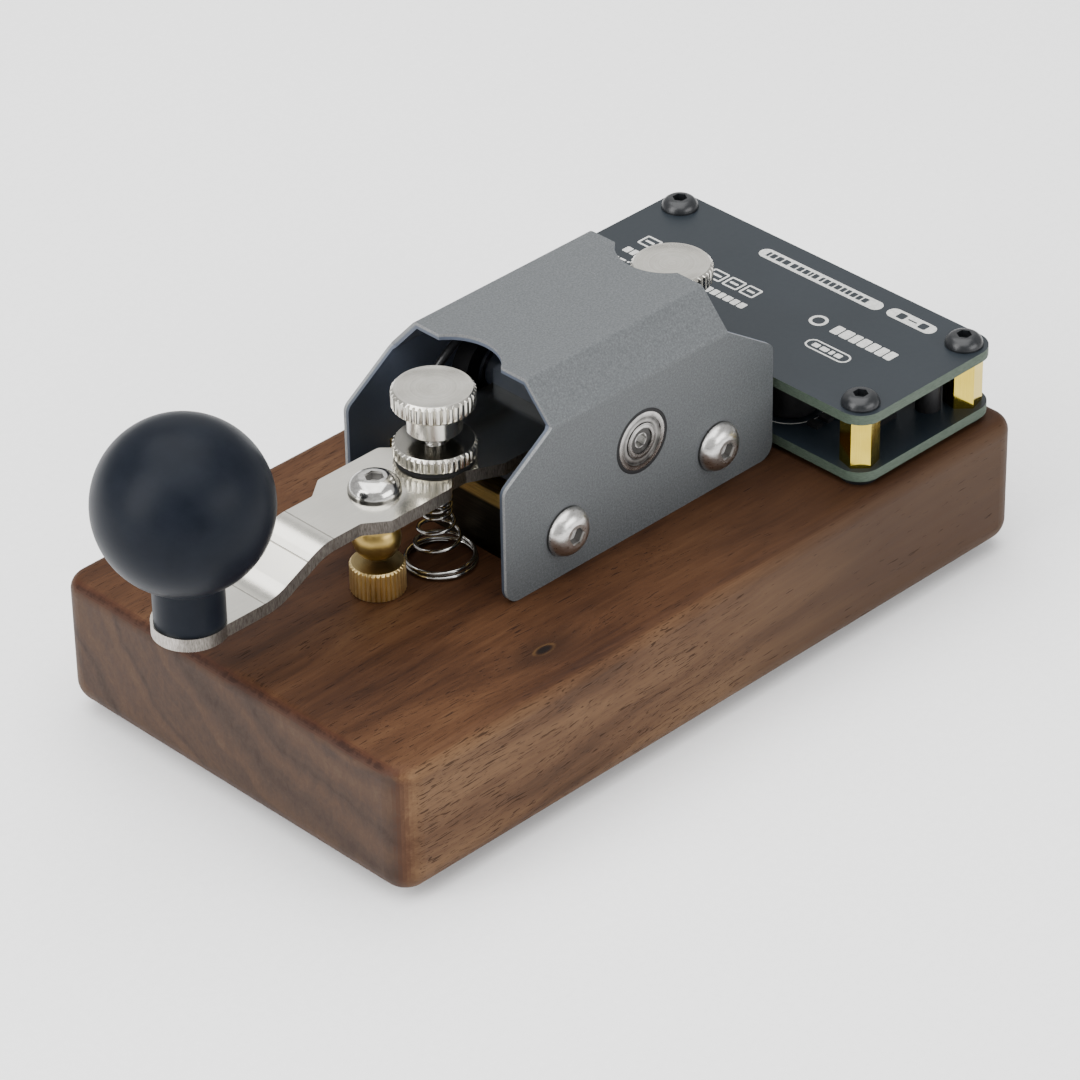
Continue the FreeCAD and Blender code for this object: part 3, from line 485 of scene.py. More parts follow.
def brushed(name, dark, light, rough_low, grain_along, bump_mm=0.006, speck=0.0):
    """Metal with fine scratches drawn out along one axis and a slow change of tone."""
    f = Finish(name)
    p = f.place()
    scales = [7.0, 7.0, 7.0]
    scales[grain_along] = 0.16
    lines = f.noise(f.stretched(p, tuple(scales)), 1.0, 4, 0.6)
    cloud = f.noise(p, 0.14, 3)
    tone = f.scaled(lines, 0.45, f.times(cloud, 0.55))
    colour = f.ramp(tone, [(0.32, dark), (0.68, light)])
    rough = f.scaled(lines, 0.16, rough_low)
    if speck:
        spots = f.step(f.noise(p, 1.3, 2), 0.66, 0.74)
        colour = f.mix(f.times(spots, speck), colour, tuple(0.4 * c for c in dark))
    return f.set(colour=colour, rough=rough, metal=1.0, normal=f.bump(lines, bump_mm, 0.6))


def lever_nickel():
    """Satin plated faces with the press marks across them, their lines darkened with painted shade; the
    sheared edges are rough and dull, and those along the sides carry painted shade.
    """
    f = Finish("lever_nickel")
    p = f.place()
    x = f.axes(p)[0]
    lines = f.noise(f.stretched(p, (0.12, 5.0, 5.0)), 1.0, 4, 0.6)
    cloud = f.noise(p, 0.12, 3)
    facing = f.facing()
    edge = f.step(facing[2], 0.30, 0.60, 1.0, 0.0)
    shear = f.noise(f.stretched(p, (7.0, 7.0, 1.1)), 1.0, 4, 0.7)
    tone = f.scaled(lines, 0.4, f.times(cloud, 0.6))
    face = f.ramp(tone, [(0.3, (0.60, 0.580, 0.520)), (0.7, (0.73, 0.710, 0.645))])
    cut = f.ramp(shear, [(0.3, (0.20, 0.180, 0.160)), (0.7, (0.50, 0.465, 0.430))])
    # Painted shade: the sheared edges along the lever's sides are darker than its ends.
    flank_shade = f.ramp(shear, [(0.3, (0.07, 0.062, 0.054)), (0.7, (0.26, 0.240, 0.215))])
    cut = f.mix(f.step(facing[1], 0.35, 0.75), cut, flank_shade)
    colour = f.mix(edge, face, cut)
    # The press marks are shallow grooves; their dark lines are painted shade in them.
    marks = 0.0
    for reach in PRESS_MARKS:
        distance = f.unsigned(f.minus(x, LEVER_FRONT + reach))
        marks = f.larger(f.step(distance, 0.05, 0.16, 1.0, 0.0), marks)
    colour = f.mix(f.times(marks, 0.62), colour, (0.13, 0.115, 0.095))
    rough = f.plus(f.scaled(lines, 0.07, 0.14), f.times(edge, 0.26))
    torn = f.times(f.times(shear, edge), 1.3)
    height = f.plus(f.times(lines, 0.10), torn)
    height = f.minus(height, marks)
    return f.set(colour=colour, rough=rough, metal=1.0, normal=f.bump(height, 0.02, 0.6))


def turned(name, dark, light, rough_low, centre, axis=2, ridge_mm=0.3, bump_mm=0.002, face_shade=0.0):
    """Metal turned about one axis, with fine rings round it; face_shade darkens its end faces with
    painted shade.
    """
    f = Finish(name)
    p = f.place()
    radius = f.length(*[f.minus(f.axes(p)[k], centre[k]) for k in range(3) if k != axis])
    rings = f.noise(f.vector(f.math("DIVIDE", radius, ridge_mm), 0.0, 0.0), 1.0, 3, 0.6)
    cloud = f.noise(p, 0.3, 3)
    tone = f.scaled(rings, 0.5, f.times(cloud, 0.5))
    colour = f.ramp(tone, [(0.34, dark), (0.66, light)])
    # Painted shade on the end faces, as much as face_shade asks.
    if face_shade:
        end_face_shade = f.times(f.step(f.facing()[axis], 0.6, 0.9), face_shade)
        colour = f.mix(end_face_shade, colour, tuple(0.2 * c for c in dark))
    rough = f.scaled(rings, 0.10, rough_low)
    return f.set(colour=colour, rough=rough, metal=1.0, normal=f.bump(rings, bump_mm, 0.4))


def block_brass():
    """Milled brass, bright along its top; lower down, the faces across the key are darkened with painted
    shade.
    """
    f = Finish("block_brass")
    p = f.place()
    top = extent("front_mounting_block")[1].z
    low_down_shade = f.step(f.axes(p)[2], top - 2.2, top - 1.6, 1.0, 0.0)
    lines = f.noise(f.stretched(p, (6.0, 0.16, 6.0)), 1.0, 4, 0.6)
    brass = f.ramp(lines, [(0.32, BRASS_DARK), (0.68, BRASS_LIGHT)])
    # sawn is painted shade for the faces across the key, not a colour of the brass.
    sawn = f.ramp(lines, [(0.32, (0.020, 0.017, 0.012)), (0.68, (0.050, 0.042, 0.028))])
    colour = f.mix(f.times(f.step(f.facing()[0], 0.4, 0.8), low_down_shade), brass, sawn)
    rough = f.scaled(lines, 0.16, 0.30)
    return f.set(colour=colour, rough=rough, metal=1.0, normal=f.bump(lines, 0.003, 0.6))


def shaft_end():
    """Ground shaft, dark on its end faces, with a painted glint filling the hexagon socket."""
    f = Finish("shaft_steel")
    p = f.place()
    x, y, z = f.axes(p)
    radius = f.length(f.minus(x, PIVOT.x), f.minus(z, PIVOT.z))
    socket = f.step(radius, 1.10, 1.20, 1.0, 0.0)
    marks = f.noise(p, 2.2, 3)
    dull = f.ramp(marks, [(0.3, (0.060, 0.059, 0.057)), (0.7, (0.110, 0.108, 0.105))])
    # bright is a painted glint inside the hexagon socket.
    bright = f.ramp(marks, [(0.3, (0.60, 0.595, 0.58)), (0.7, (0.78, 0.775, 0.76))])
    colour = f.mix(socket, dull, bright)
    rough = f.scaled(marks, 0.15, 0.22)
    return f.set(colour=colour, rough=rough, metal=1.0, normal=f.bump(marks, 0.001, 0.3))


def polished(name, dark, light, rough_low):
    """Polished metal with light handling marks."""
    f = Finish(name)
    p = f.place()
    cloud = f.noise(p, 0.45, 3)
    marks = f.noise(f.stretched(p, (3.0, 0.7, 1.6)), 1.0, 3, 0.6)
    colour = f.ramp(cloud, [(0.35, dark), (0.65, light)])
    rough = f.scaled(marks, 0.12, rough_low)
    return f.set(colour=colour, rough=rough, metal=1.0, normal=f.bump(marks, 0.001, 0.3))


def socket_screws(name, axis, rough_low, radius_mm, apart=0.0):
    """Polished button screws along one axis, with painted shade on the walls of their sockets, a painted
    glint on the socket floors and a painted dark reflection round the foot of each head.

    apart is half of the screws' spacing in X, or 0 for a single screw."""
    f = Finish(name)
    low, high = extent(name)
    centre = middle(name)
    p = f.place()
    offsets = [f.minus(place, centre[k]) for k, place in enumerate(f.axes(p))]
    offsets[0] = f.minus(f.unsigned(offsets[0]), apart)
    height = f.unsigned(offsets.pop(axis))
    radius = f.length(*offsets)
    top = (high[axis] - low[axis]) / 2
    around = f.step(radius, radius_mm, radius_mm + 0.08, 1.0, 0.0)
    well = f.times(around, f.step(height, top - 0.45, top - 0.15, 1.0, 0.0))
    # Painted shade on the socket walls; the floors take a painted glint.
    wall = f.times(well, f.step(f.facing()[axis], 0.3, 0.7, 0.85, 0.0))
    # Painted reflection: a dark ring round the foot of the head.
    rim = f.times(f.step(height, top - 2.05, top - 1.7, 0.8, 0.0), f.step(radius, 2.0, 2.4))
    marks = f.noise(f.stretched(p, (1.4, 1.4, 4.0)), 1.0, 3, 0.6)
    colour = f.ramp(marks, [(0.35, STEEL_DARK), (0.65, STEEL_LIGHT)])
    colour = f.mix(well, colour, SOCKET_GLINT)
    colour = f.mix(f.larger(wall, rim), colour, SOCKET_SHADE)
    rough = f.scaled(marks, 0.10, f.scaled(well, 0.35, rough_low))
    return f.set(colour=colour, rough=rough, metal=1.0, normal=f.bump(marks, 0.001, 0.3))


def moulded(name, dark, light, rough_low, grain_scale=4.0, bump_mm=0.012, specular=0.4):
    """Plastic, rubber or oxide with a fine grain."""
    f = Finish(name)
    p = f.place()
    grain = f.noise(p, grain_scale, 3, 0.6)
    cloud = f.noise(p, 0.2, 2)
    tone = f.scaled(grain, 0.5, f.times(cloud, 0.5))
    colour = f.ramp(tone, [(0.3, dark), (0.7, light)])
    rough = f.scaled(grain, 0.2, rough_low)
    return f.set(colour=colour, rough=rough, normal=f.bump(grain, bump_mm, 0.5), specular=specular)


def circuit_board():
    """Satin black solder mask on both faces, pale green glass laminate at the cut edges."""
    f = Finish("board_laminate")
    p = f.place()
    edge = f.step(f.facing()[2], 0.4, 0.6, 1.0, 0.0)
    cloud = f.noise(p, 0.05, 2)
    orange_peel = f.noise(p, 1.1, 3)
    mask = f.ramp(cloud, [(0.3, (0.0075, 0.0115, 0.0155)), (0.7, (0.0100, 0.0145, 0.0195))])
    weave = f.noise(f.stretched(p, (1.6, 1.6, 9.0)), 1.0, 3, 0.6)
    laminate = f.ramp(weave, [(0.3, (0.032, 0.048, 0.034)), (0.7, (0.066, 0.088, 0.066))])
    colour = f.mix(edge, mask, laminate)
    rough = f.scaled(edge, 0.25, f.scaled(orange_peel, 0.10, 0.34))
    return f.set(colour=colour, rough=rough, normal=f.bump(orange_peel, 0.003, 0.3), specular=0.30)


def legend_ink():
    """White print, worn thin in places."""
    f = Finish("legend_ink")
    p = f.place()
    coverage = f.noise(p, 2.6, 4, 0.6)
    colour = f.ramp(coverage, [(0.25, (0.37, 0.37, 0.355)), (0.6, (0.53, 0.53, 0.51))])
    rough = f.scaled(coverage, 0.2, 0.45)
    return f.set(colour=colour, rough=rough, normal=f.bump(coverage, 0.003), specular=0.2)


def paper_floor():
    f = Finish("paper_floor")
    p = f.place()
    tooth = f.noise(p, 0.8, 3)
    colour = f.ramp(tooth, [(0.3, (0.93, 0.93, 0.93)), (0.7, (0.96, 0.96, 0.96))])
    return f.set(colour=colour, rough=0.9, normal=f.bump(tooth, 0.01, 0.2), specular=0.1)


FINISHES = {
    "walnut": walnut(),
    "rubber": moulded("foot_rubber", (0.006, 0.006, 0.007), (0.014, 0.014, 0.015), 0.62, specular=0.2),
    "powder_coat": powder_coat(),
    "brass": brushed("milled_brass", BRASS_DARK, BRASS_LIGHT, 0.26, 1, speck=0.25),
    "nickel": lever_nickel(),
    "stainless": polished("polished_stainless", STEEL_DARK, STEEL_LIGHT, 0.19),
    "bearing_steel": polished("bearing_steel", (0.30, 0.295, 0.285), (0.44, 0.430, 0.415), 0.14),
    "black_plastic": moulded("black_moulding", PLASTIC_DARK, PLASTIC_LIGHT, 0.36, specular=0.25),
    "knob_black": knob_paint(),
    "spring_wire": polished("spring_wire", (0.30, 0.295, 0.280), (0.50, 0.490, 0.470), 0.10),
    "board_black": circuit_board(),
    "black_oxide": moulded("black_oxide", OXIDE_DARK, OXIDE_LIGHT, 0.22, 2.0, 0.003, 0.4),
    "zinc_steel": brushed("zinc_plate", (0.40, 0.400, 0.390), (0.58, 0.575, 0.560), 0.26, 2),
    "wire_black": moulded("wire_sleeve", PLASTIC_DARK, PLASTIC_LIGHT, 0.25, 1.6, 0.004, 0.5),
    "cell_steel": brushed("cell_can", (0.48, 0.480, 0.470), (0.64, 0.635, 0.620), 0.24, 0),
}
NODE_FINISHES = {
    # The bearing's shields and races carry rings of painted shade and painted reflection.
    "bearing_shields": turned("bearing_shield", SHIELD_RING_SHADE, SHIELD_RING_GLINT, 0.24, PIVOT, 1, 0.55, 0.002),
    "board_standoffs": brushed("standoff_brass", STANDOFF_DARK, STANDOFF_LIGHT, 0.05, 2, 0.001),
    "front_mounting_block": block_brass(),
    "pivot_shaft": shaft_end(),
    "contact_screw": socket_screws("contact_screw", 2, 0.12, 1.45),
    "housing_screws": socket_screws("housing_screws", 1, 0.24, 1.45, SCREW_REACH),
    "pivot_block": moulded("block_oxide", BLOCK_DARK, BLOCK_LIGHT, 0.38),
    "pivot_sleeves": moulded("sleeve_oxide", BLOCK_DARK, BLOCK_LIGHT, 0.30),
    # Painted shade and painted reflection ring the bearing's races.
    "bearing_outer_rings": turned("outer_race", RACE_RING_SHADE, RACE_RING_GLINT, 0.14, PIVOT, 1, 0.50),
    "bearing_inner_rings": turned("inner_race", RACE_RING_SHADE, RACE_RING_GLINT, 0.14, PIVOT, 1, 0.40),
}
LEGEND = legend_ink()
SLOT_OF_NODE = {part["node"]: part["material_slot"] for part in frame["record"]["subparts"]}


def finish_cad_nodes():
    """Every CAD node takes the procedural finish of its slot."""
    for name, node in frame["nodes"].items():
        finish = NODE_FINISHES.get(name) or FINISHES[SLOT_OF_NODE[name]]
        for material_slot in node.material_slots:
            material_slot.material = finish


# ---- mesh pieces ----

KNURL_TEETH = 38
POST_TEETH = 34
KNURL_DEPTH = 0.32
CREST_SHARE = 0.45
STEPS_PER_TOOTH = 8

HEAD_RIM = 3.0
HEAD_COLLAR = 4.0
HEAD_DISH = 0.06

THREAD_PITCH = 0.5
THREAD_DEPTH = 0.29
THREAD_POINT = 0.45
ROWS_PER_TURN = 8

BALL_NECK = 2.9

SPRING_WIRE = 0.31
SPRING_NARROW = 1.95
SPRING_START = 0.6
SPRING_STEPS = 36
SPRING_LEAN = (-0.9, -1.5)
SPRING_PROFILE = (
    # turns wound so far, share of the way from the narrow to the wide radius, share of the height
    (0.0, 1.00, 0.000),
    (1.0, 1.00, 0.025),
    (1.8, 0.95, 0.085),
    (2.3, 0.46, 0.165),
    (3.3, 0.28, 0.340),
    (4.2, 0.00, 0.480),
    (11.0, 0.00, 1.000),
)


def piece(name, vertices, faces, material, body, smooth=True, sharp_deg=35):
    """A mesh object given in millimetres in the row frame, riding on a body."""
    mesh = bpy.data.meshes.new(name)
    mesh.from_pydata([Vector(v) * MM for v in vertices], [], faces)
    mesh.validate()
    mesh.update()
    mesh.materials.append(material)
    thing = bpy.data.objects.new(name, mesh)
    bpy.context.scene.collection.objects.link(thing)
    if smooth:
        mesh.shade_smooth()
        mesh.set_sharp_from_angle(angle=math.radians(sharp_deg))
    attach(thing, body)
    return thing


def lathe_mesh(rows, segments, centre, radius_at=None):
    """Vertices and faces of a solid turned about a vertical axis through centre.

    rows are (radius, z) from the bottom of the axis to its top, or a closed ring of them where there
    is a bore. radius_at(radius, angle, z) may cut teeth or a thread into the turned surface."""
    vertices = []
    faces = []
    spans = []
    for radius, z in rows:
        start = len(vertices)
        if radius <= 0:
            vertices.append((centre[0], centre[1], z))
            spans.append((start, 1))
            continue
        for i in range(segments):
            angle = 2 * math.pi * i / segments
            r = radius_at(radius, angle, z) if radius_at else radius
            vertices.append((centre[0] + r * math.cos(angle), centre[1] + r * math.sin(angle), z))
        spans.append((start, segments))
    pairs = list(zip(spans, spans[1:]))
    if rows[0][0] > 0 and rows[-1][0] > 0:
        pairs.append((spans[-1], spans[0]))
    for (low, low_count), (high, high_count) in pairs:
        for i in range(segments):
            j = (i + 1) % segments
            if low_count == 1:
                faces.append((low, high + j, high + i))
            elif high_count == 1:
                faces.append((low + i, low + j, high))
            else:
                faces.append((low + i, low + j, high + j, high + i))
    return vertices, faces


def teeth(outer, depth, count):
    """Straight knurling: V-shaped grooves with rounded crests, cut only where the blank reaches them."""
    def radius_at(radius, angle, z):
        phase = (angle * count / (2 * math.pi)) % 1.0
        groove = abs(2 * phase - 1)
        crest = 1 - max(0.0, groove - CREST_SHARE) / (1 - CREST_SHARE)
        return min(radius, outer - depth * (1 - crest))
    return radius_at


def knurl_rows(outer, low, high, chamfer, steps=4):
    """Rows up a knurled rim, close together on its two chamfers so that the teeth scallop them."""
    rows = []
    for i in range(steps + 1):
        share = i / steps
        rows.append((outer - chamfer * (1 - share), low + chamfer * share))
    for i in range(steps + 1):
        share = i / steps
        rows.append((outer - chamfer * share, high - chamfer * (1 - share)))
    return rows


def thumb_head(name, node, body):
    """Knurled head over a plain collar, with a faint dish turned in its top face."""
    low, high = extent(node)
    centre = middle(node)
    outer = (high.x - low.x) / 2
    rim_low = high.z - HEAD_RIM
    dish = high.z - HEAD_DISH
    rows = [(0, low.z), (1.6, low.z), (HEAD_COLLAR - 0.3, low.z)]
    rows += [(HEAD_COLLAR, low.z + 0.3), (HEAD_COLLAR, rim_low - 0.15), (HEAD_COLLAR + 0.15, rim_low)]
    rows += knurl_rows(outer, rim_low, high.z, 0.45)
    rows += [(outer - 0.75, high.z), (outer - 0.95, dish), (2.0, dish), (0, dish)]
    cut = teeth(outer, KNURL_DEPTH, KNURL_TEETH)
    vertices, faces = lathe_mesh(rows, KNURL_TEETH * STEPS_PER_TOOTH, centre, cut)
    finish = turned(name + "_nickel", NICKEL_DARK, NICKEL_LIGHT, 0.15, centre)
    head = piece(name, vertices, faces, finish, body)
    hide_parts(node)


def locknut(name, node, body):
    """Knurled nut with a chamfered bore, standing just clear of its washer."""
    low, high = extent(node)
    centre = middle(node)
    outer = (high.x - low.x) / 2
    bore = 1.55
    seat = low.z + 0.02
    rows = [(bore, seat), (outer - 1.4, seat)] + knurl_rows(outer, seat, high.z, 0.4)
    rows += [(outer - 0.7, high.z), (bore + 0.45, high.z), (bore, high.z - 0.4)]
    cut = teeth(outer, KNURL_DEPTH, KNURL_TEETH)
    vertices, faces = lathe_mesh(rows, KNURL_TEETH * STEPS_PER_TOOTH, centre, cut)
    finish = turned(name + "_nickel", NICKEL_DARK, NICKEL_LIGHT, 0.15, centre, face_shade=0.7)
    nut = piece(name, vertices, faces, finish, body)
    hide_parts(node)


def threaded_rod(name, node, body):
    """M3 thread at its real half-millimetre pitch, with a pointed-off end."""
    low, high = extent(node)
    centre = middle(node)
    outer = (high.x - low.x) / 2
    root = outer - THREAD_POINT
    count = round((high.z - low.z) / THREAD_PITCH * ROWS_PER_TURN)

    def radius_at(radius, angle, z):
        phase = (z / THREAD_PITCH - angle / (2 * math.pi)) % 1.0
        return min(radius, outer - THREAD_DEPTH * (1 - abs(2 * phase - 1)))

    rows = [(0, low.z), (root, low.z)]
    for i in range(1, count):
        z = low.z + (high.z - low.z) * i / count
        rows.append((min(outer, root + (z - low.z)), z))
    rows += [(outer - 0.3, high.z), (0, high.z)]
    vertices, faces = lathe_mesh(rows, 40, centre, radius_at)
    rod = piece(name, vertices, faces, FINISHES["stainless"], body, sharp_deg=60)
    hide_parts(node)


def contact_post():
    """Knurled brass post with a plain chamfered crown."""
    low, high = extent("contact_post")
    centre = middle("contact_post")
    outer = (high.x - low.x) / 2
    rows = [(0, low.z), (outer - 0.9, low.z)] + knurl_rows(outer, low.z, high.z, 0.32)
    rows += [(outer - 0.6, high.z), (1.5, high.z), (0, high.z)]
    cut = teeth(outer, KNURL_DEPTH, POST_TEETH)
    vertices, faces = lathe_mesh(rows, POST_TEETH * STEPS_PER_TOOTH, centre, cut)
    finish = turned("post_brass", POST_DARK, POST_LIGHT, 0.30, centre, face_shade=0.55)
    post = piece("knurled_contact_post", vertices, faces, finish, "frame")
    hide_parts("contact_post")


def contact_ball():
    """Turned brass ball whose neck seats against the lever."""
    low, high = extent("contact_ball")
    centre = middle("contact_ball")
    outer = (high.x - low.x) / 2
    ball_z = low.z + outer
    neck_angle = math.acos(BALL_NECK / outer)
    steps = 28
    rows = [(0, low.z)]
    for i in range(1, steps + 1):
        angle = -math.pi / 2 + (math.pi / 2 + neck_angle) * i / steps
        rows.append((outer * math.cos(angle), ball_z + outer * math.sin(angle)))
    rows += [(BALL_NECK, high.z - 0.25), (BALL_NECK - 0.25, high.z), (0, high.z)]
    vertices, faces = lathe_mesh(rows, 72, centre)
    finish = turned("ball_brass", BALL_DARK, BALL_LIGHT, 0.30, centre)
    ball = piece("turned_contact_ball", vertices, faces, finish, "lever")
    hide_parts("contact_ball")


def tube_mesh(path, radius, sides=14):
    """A round wire swept along a list of points, with closed ends."""
    vertices = []
    faces = []
    ahead = (path[1] - path[0]).normalized()
    normal = ahead.orthogonal().normalized()
    for i, point in enumerate(path):
        before = path[max(i - 1, 0)]
        after = path[min(i + 1, len(path) - 1)]
        along = (after - before).normalized()
        normal = (normal - along * normal.dot(along)).normalized()
        other = along.cross(normal)
        for k in range(sides):
            angle = 2 * math.pi * k / sides
            vertices.append(point + (normal * math.cos(angle) + other * math.sin(angle)) * radius)
    for i in range(len(path) - 1):
        for k in range(sides):
            n = (k + 1) % sides
            a = i * sides
            b = a + sides
            faces.append((a + k, a + n, b + n, b + k))
    faces.append(tuple(reversed(range(sides))))
    last = (len(path) - 1) * sides
    faces.append(tuple(range(last, last + sides)))
    return vertices, faces


def spring_at(turn):
    """Radius share and height share of the spring after this many turns."""
    for (t0, r0, h0), (t1, r1, h1) in zip(SPRING_PROFILE, SPRING_PROFILE[1:]):
        if turn <= t1:
            part = (turn - t0) / (t1 - t0)
            return r0 + (r1 - r0) * part, h0 + (h1 - h0) * part
    return SPRING_PROFILE[-1][1:]


def spring_path(low, high, centre):
    """Points along the wire's middle, from the wood up to the lever."""
    wide = (high.x - low.x) / 2 - SPRING_WIRE + 0.2
    path = []
    for i in range(round(SPRING_PROFILE[-1][0] * SPRING_STEPS) + 1):
        turn = i / SPRING_STEPS
        widening, rise = spring_at(turn)
        radius = SPRING_NARROW + (wide - SPRING_NARROW) * widening
        angle = 2 * math.pi * turn + SPRING_START
        x = centre.x + SPRING_LEAN[0] * widening + radius * math.cos(angle)
        y = centre.y + SPRING_LEAN[1] * widening + radius * math.sin(angle)
        z = low.z + SPRING_WIRE + (high.z - low.z - 2 * SPRING_WIRE) * rise
        path.append(Vector((x, y, z)))
    return path


def tension_spring():
    """Conical spring: wide low coils on the wood, closing in to a narrow neck under the lever."""
    low, high = extent("tension_spring")
    centre = middle("tension_spring")
    vertices, faces = tube_mesh(spring_path(low, high, centre), SPRING_WIRE)
    spring = piece("conical_spring", vertices, faces, FINISHES["spring_wire"], "frame")
    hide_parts("tension_spring")
    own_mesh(spring)


# ---- board legend ----

LEGEND_THICK = 0.03
CORNER_STEPS = 8

# Every row of print is placed by its distance in from the upper board's rear edge. Its bars are given
# by where they start along Y, and by their widths, counted from there towards -Y. They spell nothing.
TITLE_ROW = 14.4
TITLE_START = 26.0
TITLE_GAP = 0.45
TITLE_WIDTHS = (3.1, 3.0, 3.1, 2.9, 3.1, 3.0, 2.8)
WORD_ROW = 18.2
WORDS = (
    (26.0, (1.2, 0.9, 1.1, 1.0, 1.2)),
    (18.6, (1.1, 1.2, 1.0, 1.1, 1.2, 0.9)),
    (9.4, (1.2, 1.1, 1.0, 1.2, 1.1, 1.2)),
)
FINE_ROW = 20.8
FINE_WIDTHS = (0.4, 0.4, 1.2, 0.4, 0.4, 1.2, 1.2, 0.4, 1.2, 0.4, 0.4)
RING_WORD = (1.5, 1.7, 1.3, 1.5, 1.5, 1.4, 1.4)
OUTLINED_ROW = 18.8
OUTLINED_WORD = (1.2, 1.4, 0.7, 1.2)
SOCKET_ROW = 4.6
SOCKET_WORDS = (
    (9.4, (0.5, 0.9, 1.0, 1.1)),
    (4.5, (1.0, 0.9, 0.9, 0.4, 0.9)),
    (-1.3, (0.5, 0.9, 0.8, 0.9, 0.7, 0.7, 0.9, 0.8, 0.9)),
)
SWITCH_ROW = 4.2
SWITCH_MARKS = (
    # start along Y, width along Y, half its reach along X
    (-16.4, 1.4, 0.75),
    (-18.4, 1.6, 0.14),
    (-20.6, 1.4, 0.75),
)


def rounded_bar(x, y, half_x, half_y, radius, z, hole=None):
    """A flat bar with rounded corners on the board; hole is the width of its frame if it is open."""
    def ring(inset, height):
        r = max(radius - inset, 0.02)
        points = []
        for corner, (sx, sy) in enumerate(((1, 1), (-1, 1), (-1, -1), (1, -1))):
            for k in range(CORNER_STEPS + 1):
                angle = math.pi / 2 * (corner + k / CORNER_STEPS)
                points.append((x + sx * (half_x - inset - r) + r * math.cos(angle),
                               y + sy * (half_y - inset - r) + r * math.sin(angle), height))
        return points

    rings = [ring(0, z), ring(0, z + LEGEND_THICK)]
    if hole:
        rings += [ring(hole, z + LEGEND_THICK), ring(hole, z)]
    count = len(rings[0])
    vertices = [v for r in rings for v in r]
    faces = []
    order = list(range(len(rings)))
    pairs = list(zip(order, order[1:])) + ([(order[-1], 0)] if hole else [])
    for a, b in pairs:
        for i in range(count):
            j = (i + 1) % count
            faces.append((a * count + i, a * count + j, b * count + j, b * count + i))
    if not hole:
        faces.append(tuple(reversed(range(count))))
        faces.append(tuple(range(count, 2 * count)))
    return vertices, faces


def joined(parts):
    """Several (vertices, faces) pairs as one."""
    vertices = []
    faces = []
    for part_vertices, part_faces in parts:
        start = len(vertices)
        vertices += part_vertices
        faces += [tuple(i + start for i in face) for face in part_faces]
    return vertices, faces


def dashes(x, y_start, widths, gap, half_x, z):
    """A row of bars of different lengths that stands in for a line of print."""
    bars = []
    y = y_start
    for width in widths:
        bars.append(rounded_bar(x, y - width / 2, half_x, width / 2, min(half_x, width / 2) * 0.4, z))
        y -= width + gap
    return bars


def title_boxes(x, z):
    """A row of open boxes with a bar in each."""
    boxes = []
    y = TITLE_START
    for width in TITLE_WIDTHS:
        boxes.append(rounded_bar(x, y - width / 2, 1.35, width / 2, 0.4, z, 0.34))
        boxes.append(rounded_bar(x, y - width / 2, 0.24, width / 2 - 0.7, 0.15, z))
        y -= width + TITLE_GAP
    return boxes


def board_legend():
    """Printed marks on the upper board: title rows, two labels, a ring and an outlined label."""
    board_high = extent("upper_board")[1]
    z = board_high.z
    rear = board_high.x
    ink = [
        rounded_bar(rear - SOCKET_ROW, -1.3, 1.25, 12.1, 1.2, z),
        rounded_bar(rear - SWITCH_ROW, -19.0, 1.25, 4.5, 1.2, z),
        rounded_bar(rear - 13.5, -9.1, 1.45, 1.45, 1.4, z, 0.5),
    ]
    ink += dashes(rear - 13.6, -12.2, RING_WORD, 0.25, 1.15, z)
    ink.append(rounded_bar(rear - OUTLINED_ROW, -15.8, 1.25, 4.1, 1.2, z, 0.28))
    ink += dashes(rear - OUTLINED_ROW, -12.9, OUTLINED_WORD, 0.35, 0.5, z)
    ink += title_boxes(rear - TITLE_ROW, z)
    for start, widths in WORDS:
        ink += dashes(rear - WORD_ROW, start, widths, 0.25, 0.75, z)
    ink += dashes(rear - FINE_ROW, TITLE_START, FINE_WIDTHS, 0.35, 0.2, z)
    vertices, faces = joined(ink)
    piece("board_legend", vertices, faces, LEGEND, "frame", smooth=False)


def buzzer_outline():
    """Thin printed circle on the lower board round the buzzer."""
    low, high = extent("buzzer")
    centre = middle("buzzer")
    reach = (high.x - low.x) / 2 + 1.1
    vertices, faces = rounded_bar(centre.x, centre.y, reach, reach, reach, low.z, 0.16)
    piece("buzzer_outline", vertices, faces, LEGEND, "frame", smooth=False)


def label_print():
    """Dark marks over the two white labels."""
    board_high = extent("upper_board")[1]
    z = board_high.z + LEGEND_THICK
    marks = []
    for start, widths in SOCKET_WORDS:
        marks += dashes(board_high.x - SOCKET_ROW, start, widths, 0.28, 0.62, z)
    for start, width, half_x in SWITCH_MARKS:
        marks += dashes(board_high.x - SWITCH_ROW, start, (width,), 0.3, half_x, z)
    vertices, faces = joined(marks)
    piece("label_print", vertices, faces, FINISHES["board_black"], "frame", smooth=False)


def build():
    finish_cad_nodes()
    thumb_head("tension_thumb_head", "tension_head", "tension_knob")
    thumb_head("gap_thumb_head", "gap_head", "gap_knob")
    locknut("tension_knurled_nut", "tension_locknut", "tension_nut")
    locknut("gap_knurled_nut", "gap_locknut", "gap_nut")
    threaded_rod("tension_thread", "tension_shank", "tension_rod")
    threaded_rod("gap_thread", "gap_shank", "gap_rod")
    contact_post()
    contact_ball()
    tension_spring()
    board_legend()
    label_print()
    buzzer_outline()


# ---- stage, light and camera ----

FLOOR_REACH = 3000.0
LIGHT_TARGET = Vector((0, 0, 20))
WORLD_STRENGTH = 0.7

